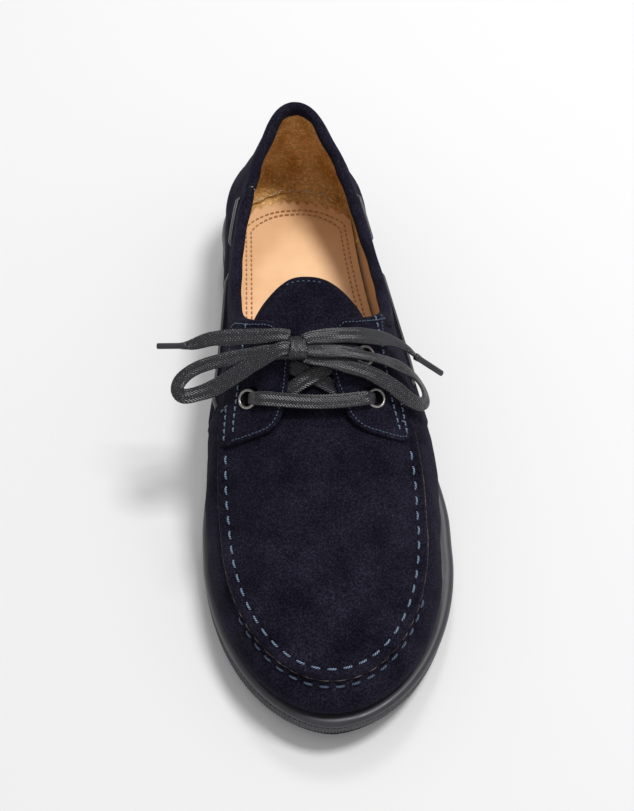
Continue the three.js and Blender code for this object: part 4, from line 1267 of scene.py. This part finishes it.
def tongue():
    outline = closed_curve(TONGUE, 300)
    centre = (-3.0, -2.0)
    bottom = TONGUE_TOP - TONGUE_THICKNESS
    leaf("tongue_suede", outline, centre, bottom, TONGUE_TOP, NAVY, (), ("tongue",), None, 1.3)
    path = inset_outline(outline, 2.0)
    path = path[(path[:, 1] > 14.0) & (np.abs(path[:, 0] + 5.0) < 9.0)]
    order = np.argsort(path[:, 0])
    path = path[order]
    normals = normal_over(path[:, 0], path[:, 1])
    surface = over(path[:, 0], path[:, 1], 0) + normals * (TONGUE_TOP + 0.02)
    shape = Shape()
    stitches(shape, surface, normals, 2.3, 1.3, 0.26, lift=0.06, sink=0.5)
    shape.build("tongue_stitches", DIM_THREAD, "lace")


flaps()
tongue()


# ------------------------------------------------------------------ eyelets and fixed laces
def eyelets():
    for name, (x, y) in EYELETS.items():
        normal = normal_over(np.array([x]), np.array([y]))[0]
        seat = over(np.array([x]), np.array([y]), 0)[0] + normal * FLAP_TOP
        side = unit(np.cross(normal, [0.0, 1.0, 0.2]))
        other = np.cross(normal, side)
        rim = [
            (3.1, -4.2), (3.1, -1.0), (3.12, 0.2), (3.2, 0.62), (3.4, 0.92), (3.7, 1.02), (4.0, 0.92),
            (4.3, 0.6), (4.45, 0.25), (4.45, -0.3)
        ]
        fine = smooth_rows([(r, h, 0.0) for r, h in rim], count=30)
        turn = np.linspace(0, 2 * np.pi, 72, endpoint=False)
        circle = np.cos(turn)[:, None] * side + np.sin(turn)[:, None] * other
        points = seat + fine[:, 0][:, None, None] * circle[None] + (fine[:, 1][:, None] * normal)[:, None]
        shape = Shape()
        shape.grid(points, wrap_columns=True)
        shape.build(f"{name}_ring", GUNMETAL, "eyelet_metal", (name,))


def bar(name, start, end, bow_depth, ends_lift, middle_lift, node):
    """A lace that comes up through one eyelet and goes down through the other."""
    start = np.array(start)
    end = np.array(end)
    run = unit(end - start)
    length = np.linalg.norm(end - start)
    t = np.array([
        -0.6, 0.5, 2.2, 4.4, 7.5, length * 0.3, length * 0.5, length * 0.7,
        length - 7.5, length - 4.4, length - 2.2, length - 0.5, length + 0.6,
    ]) / length
    rise = [-1.2, 1.6, 3.3, ends_lift, ends_lift - 0.3]
    lift = np.array([*rise, middle_lift, middle_lift, middle_lift, *rise[::-1]])
    width = np.array([4.0, 4.5, 5.4, 6.0, 6.2, 6.2, 6.2, 6.2, 6.2, 6.0, 5.4, 4.5, 4.0])
    plan = start + run * (t * length)[:, None]
    plan[:, 1] -= bow_depth * np.sin(np.pi * np.clip(t, 0, 1))
    centres = lifted(plan[:, 0], plan[:, 1], lift)
    ups = normal_over(plan[:, 0], plan[:, 1])
    ups[:3, :2] -= run * np.array([1.4, 0.9, 0.3])[:, None]
    ups[-3:, :2] += run * np.array([0.3, 0.9, 1.4])[:, None]
    path = smooth_rows(np.hstack([centres, ups, width[:, None]]), spacing=0.7)
    shape = Shape()
    ribbon(shape, path[:, :3], path[:, 3:6], path[:, 6], LACE_THICKNESS, sides=24)
    shape.build(name, LACE, "lace", (node,))


def crossing():
    shape = Shape()
    for start, end, lifts in (
        ((-15.5, -18.5), (11.0, -6.6), (-0.6, -0.2)), ((10.6, -18.6), (-16.0, -6.8), (-1.8, -1.7))
    ):
        t = np.linspace(0, 1, 40)
        x = start[0] + (end[0] - start[0]) * t
        y = start[1] + (end[1] - start[1]) * t
        lift = lifts[0] + (lifts[1] - lifts[0]) * np.sin(np.pi * t)
        ribbon(shape, lifted(x, y, lift), normal_over(x, y), LACE_WIDTH, LACE_THICKNESS * 0.85, sides=24)
    shape.build("laced_crossing", LACE, "lace", ("lace_crossing",))


eyelets()
bar("laced_lower_bar", (-28.9, -16.7), (23.2, -19.7), 4.6, 4.6, 3.4, "lace_lower_bar")
bar("laced_upper_bar", (-23.2, -2.6), (19.4, -3.9), 1.0, 4.4, 3.2, "lace_upper_bar")
crossing()


# ------------------------------------------------------------------ collar and linings
# Section of the folded collar band: distance down from the collar line and height over the form.
BAND_SECTION = [
    (7.5, -2.3), (6.0, -2.7), (4.0, -3.3), (2.2, -3.6), (0.7, -3.2), (-0.4, -2.2), (-0.8, -1.0),
    (-0.5, 0.3), (0.6, 1.3), (2.2, 1.7), (4.2, 1.5), (6.2, 1.15), (8.2, 1.0), (9.4, 0.95), (9.9, 0.75),
    (10.0, 0.2), (9.8, -0.3),
]
BAND_FRONT = 13.5
BAND_JOIN = 98.0


def heel_heading(st):
    """Headings with the outer side counted from 0 instead of from a full turn."""
    return np.where(st["heading"] >= 1.99 * math.pi, st["heading"] - 2 * math.pi, st["heading"])


def collar_ring():
    """Stations along the collar, from the inner flap round the heel to the outer flap."""
    st = ring(UPPER, UPPER_TIPS, COLLAR_STEP)
    keep = (st["dy"] >= 0) & (st["y"] > BAND_FRONT)
    order = np.argsort(heel_heading(st)[keep], kind="stable")
    part = {key: value[keep][order] for key, value in st.items()}
    angle = heel_heading(part)
    lateral = np.flatnonzero(angle < 1e-6)
    medial = np.flatnonzero(angle > math.pi - 1e-6)
    heel = np.flatnonzero((angle >= 1e-6) & (angle <= math.pi - 1e-6))
    lateral = lateral[np.argsort(part["y"][lateral])]
    medial = medial[np.argsort(-part["y"][medial])]
    chosen = np.concatenate([lateral, heel, medial])
    return {key: value[chosen] for key, value in part.items()}


def wall_strip(st, rows):
    """Points on the wall: rows are arrays of distance down from the collar line and height over the form."""
    points, arcs, top, _ = shell_sections(st, 0.0)
    normals = unit(np.cross(np.gradient(points, axis=1), np.gradient(points, axis=0)))
    outward = np.stack([st["dx"], st["dy"], np.zeros(len(st["y"]))], -1)[:, None]
    normals = normals * np.sign(np.sum(normals * outward, axis=-1, keepdims=True) + 1e-9)
    result = []
    for down, height in rows:
        wanted = (top - down)[:, None]
        beyond = np.maximum(wanted - top[:, None], 0)
        place = resample(points, arcs, np.minimum(wanted, top[:, None]))[:, 0]
        normal = unit(resample(normals, arcs, np.minimum(wanted, top[:, None]))[:, 0])
        tangent = unit(
            resample(points, arcs, top[:, None])[:, 0] - resample(points, arcs, top[:, None] - 1.0)[:, 0]
        )
        result.append(place + tangent * beyond + normal * np.asarray(height)[..., None])
    return np.array(result)


def collar():
    st = collar_ring()
    fine = smooth_rows([(d, h, 0.0) for d, h in BAND_SECTION], count=34)[:, :2]
    place_y = wall_strip(st, [(0.0, 0.0)])[0][:, 1]
    side = np.sign(st["dx"])
    join = np.exp(-(((place_y - BAND_JOIN) / 1.1) ** 2)) * (side < 0)
    end_fade = smooth(0, 6, place_y - BAND_FRONT)
    puff = 1 + 0.05 * np.sin(place_y / 6.0 + side) + 0.04 * np.sin(place_y / 2.7)
    rows = []
    for down, height in fine:
        body = height * puff - 0.5 * join * np.sign(height + 1.0)
        rows.append((np.full(len(place_y), down), body))
    points = wall_strip(st, rows)
    centre = wall_strip(st, [(3.0, -1.0)])[0]
    points = centre + (points - centre) * (0.55 + 0.45 * end_fade)[None, :, None]
    shape = Shape()
    shape.grid(points[::-1])
    shape.build("collar_band", NAVY, "suede")
    seam = Shape()
    for index in np.flatnonzero((np.abs(place_y - BAND_JOIN) < 0.7) & (side < 0))[:1]:
        rows = smooth_rows(points[6:20, index], spacing=0.5)
        normals = unit(rows - centre[index])
        stitches(seam, rows, normals, 2.2, 1.0, 0.15, lift=0.35, sink=0.3)
    seam.build("collar_join_stitches", PALE_THREAD, "lace")


HEEL_LINING_FRONT = 88.0


def heel_lining():
    """Soft suede round the inside of the heel, from the collar down to the heel seat, with torn ends."""
    st = ring(UPPER, UPPER_TIPS, 0.8)
    keep = (st["dy"] >= 0) & (st["y"] > HEEL_LINING_FRONT)
    heading = heel_heading(st)
    order = np.flatnonzero(keep)
    key = np.where(
        heading[order] < 1e-6, st["y"][order] - 1000,
        np.where(heading[order] > math.pi - 1e-6, 1000 - st["y"][order], heading[order])
    )
    order = order[np.argsort(key)]
    part = {name: value[order] for name, value in st.items()}
    points, arcs, top, _ = shell_sections(part, -WALL)
    rows = []
    for share in np.linspace(0.0, 1.0, 48):
        wanted = ((top - 3.0) * share)[:, None]
        place = resample(points, arcs, wanted)[:, 0]
        inward = np.stack([-part["dx"], -part["dy"], np.zeros(len(place))], -1)
        thickness = 0.7 + 0.22 * waver(place, 5.0, 3.0) + 0.15 * waver(place, 2.0, 1.0)
        ragged = 1.6 * np.sin(share * 31.0) + 1.1 * np.sin(share * 67.0 + 1.0)
        edge = smooth(0.0, 3.0, place[:, 1] - HEEL_LINING_FRONT - 4.0 - ragged)
        rows.append(place + inward * (thickness * edge - 0.35 * (1 - edge))[:, None])
    shape = Shape()
    shape.grid(np.array(rows))
    shape.build("heel_lining", GOLD, "insole_leather")


def insole_sheet(name, front, back_line, inset, rise, look, replaces=(), teeth=0.0, dome=0.0):
    """A sheet over the insole board from a front line to a back line, as far out as inset allows."""
    u = np.linspace(-1, 1, 121)
    v = np.linspace(0, 1, 150)
    st_y = np.linspace(front, 144, 600)
    half_left, half_right = insole_edges(st_y, inset)
    zigzag = teeth * (np.abs(((u * 5.6 + 50) % 1.0) - 0.5) * 4 - 1)
    back = np.interp(u, np.linspace(-1, 1, len(back_line)), back_line) + zigzag
    y = front + (back[None, :] - front) * v[:, None]
    left = np.interp(y, st_y, half_left)
    right = np.interp(y, st_y, half_right)
    x = left + (right - left) * (u[None, :] + 1) / 2
    z = at(EDGE, "feather", y) + rise + dome * (np.abs(u[None, :]) ** 2.5) * 2.0
    z = z + 0.1 * waver(np.stack([x, y, z], -1), 14.0, 0.7)
    points = np.stack([x, y, z], -1)
    lip = points[-1:].copy()
    lip[..., 2] -= 1.0
    shape = Shape()
    shape.grid(np.concatenate([points, lip])[:, ::-1])
    return shape.build(name, look, "insole_leather", replaces)


def insole_edges(y, inset):
    """Inner outline of the shoe at insole height, on both sides, at each y."""
    toe = np.clip((TOE_CENTRE - y) / (TOE_CENTRE - UPPER_TIPS[0] - inset), 0, 1)
    heel = np.clip((y - HEEL_CENTRE) / (UPPER_TIPS[1] - HEEL_CENTRE - inset), 0, 1)
    share = np.sqrt(1 - toe**2) * np.sqrt(1 - heel**2)
    spine = at(UPPER, "spine", y)
    tuck_share = (1 - INSOLE_THICKNESS / TUCK_HEIGHT) ** TUCK_POWER
    medial = spine - at(UPPER, "medial", y) - inset - at(EDGE, "tuck_medial", y) * tuck_share
    lateral = at(UPPER, "lateral", y) - spine - inset - at(EDGE, "tuck_lateral", y) * tuck_share
    left = spine - medial * share
    right = spine + lateral * share
    return left, right


PINKED_LINE = [110.0, 118.0, 121.5, 122.6, 122.6, 122.0, 120.5, 117.0, 111.0]


def insole():
    insole_sheet(
        "insole_board", -134.0, [140.4, 140.8, 141.0, 140.8, 140.4], 2.8, INSOLE_THICKNESS - 1.4, GOLD,
        ("insole",)
    )
    insole_sheet(
        "insole_sock", -120.0, PINKED_LINE, 3.4, INSOLE_THICKNESS + 0.1, INSOLE_LEATHER, (), 1.5, 0.35
    )
    double = Shape()
    for gap in (0.0, 2.4):
        y = np.linspace(-10, 108, 200)
        left, right = insole_edges(y, 6.8 + gap)
        back_x = np.linspace(-1, 1, 60)
        back_y = 116.6 - gap - 9.5 * np.abs(back_x) ** 2.6
        back_left, back_right = insole_edges(back_y, 6.8 + gap)
        x = back_left + (back_right - back_left) * (back_x + 1) / 2
        low = y < back_y[0]
        xs = np.concatenate([left[low], x, right[low][::-1]])
        ys = np.concatenate([y[low], back_y, y[low][::-1]])
        z = at(EDGE, "feather", ys) + INSOLE_THICKNESS + 0.3
        path = smooth_rows(np.stack([xs, ys, z], -1)[::4], spacing=0.8)
        up = np.tile([0.0, 0.0, 1.0], (len(path), 1))
        stitches(double, path, up, 2.7, 1.9, 0.36, lift=0.35, sink=0.5)
    double.build("insole_stitches", TAN_THREAD, "insole_leather")
    seam = Shape()
    x = np.linspace(-21, 21, 60)
    y = 129.5 - 0.018 * (x - 1) ** 2 + 0.5 * np.sin(x * 0.9)
    path = np.stack([x, y, at(EDGE, "feather", y) + INSOLE_THICKNESS - 0.3], -1)
    ribbon(seam, path, np.tile([0, 0, 1.0], (60, 1)), 1.3, 1.0, squareness=1.0, sides=10)
    seam.build("heel_seat_seam", GOLD, "insole_leather")
    whip = Shape()
    stitches(
        whip, path + np.array([0, 0, 0.5]), np.tile([0, 0, 1.0], (60, 1)), 4.2, 2.6, 0.4, lift=0.15,
        sink=0.5
    )
    whip.build("heel_seat_stitches", PALE_THREAD, "insole_leather")


# Side laces: side, then y and z along each run.
SIDE_LACES = {
    "side_lace_medial_rear": (-1, [(100, 58), (92, 55.6), (84, 53.6), (77, 52.2)]),
    "side_lace_medial_front": (-1, [(62, 50.2), (46, 47.6), (28, 45.4), (10, 45.4), (-8, 45.6)]),
    "side_lace_lateral_rear": (1, [(100, 58), (92, 55.6), (84, 53.6), (77, 52.2)]),
    "side_lace_lateral_front": (1, [(62, 50.2), (46, 47.8), (30, 46.4), (14, 47.4), (-2, 49.8)]),
}


def side_laces():
    for name, (side, run) in SIDE_LACES.items():
        path = smooth_rows([(0.0, y, z) for y, z in run], spacing=0.8)
        normals = normal_beside(side, path[:, 1], path[:, 2])
        t = np.linspace(0, 1, len(path))
        ends = smooth(0, 0.07, t) * (1 - smooth(0.93, 1.0, t))
        centres = beside(side, path[:, 1], path[:, 2], 0) + normals * (1.35 * ends + 0.1)[:, None]
        shape = Shape()
        ribbon(shape, centres, normals, 2.3, 1.5, squareness=0.8, sides=16)
        shape.build(f"{name}_cord", SIDE_CORD, "side_cord", (name,))


def back_stay():
    """A narrow strip over the seam at the back of the heel, stitched down both edges."""
    x = np.linspace(-1, 1, 41)
    z = np.linspace(26.5, 73.0, 60)
    half = np.interp(z, [26, 50, 73], [13.0, 8.0, 7.0])
    st = stations_of(np.full(400, HEEL_CENTRE), np.linspace(0.2, math.pi - 0.2, 400))
    points = form_points(st, SAMPLE_ANGLES, 0.0)
    rows = []
    for height, width in zip(z, half):
        at_height = np.array([[np.interp(height, p[:, 2], p[:, k]) for k in range(2)] for p in points])
        order = np.argsort(at_height[:, 0])
        px = x * width
        py = np.interp(px, at_height[order, 0], at_height[order, 1])
        edge = 1 - smooth(0.9, 1.0, np.abs(x))
        rows.append(np.stack([px, py + 0.15 + 0.95 * edge, np.full(len(x), height)], -1))
    shape = Shape()
    grid = np.array(rows)
    shape.grid(grid)
    shape.build("heel_stay", NAVY, "suede")
    rows = Shape()
    for column in (3, 37):
        path = grid[2:-2, column]
        stitches(rows, path, np.tile([0, 1.0, 0.1], (len(path), 1)), 2.6, 1.8, 0.3, lift=0.1, sink=0.5)
    rows.build("heel_stay_stitches", DIM_THREAD, "lace")


collar()
heel_lining()
insole()
side_laces()
back_stay()
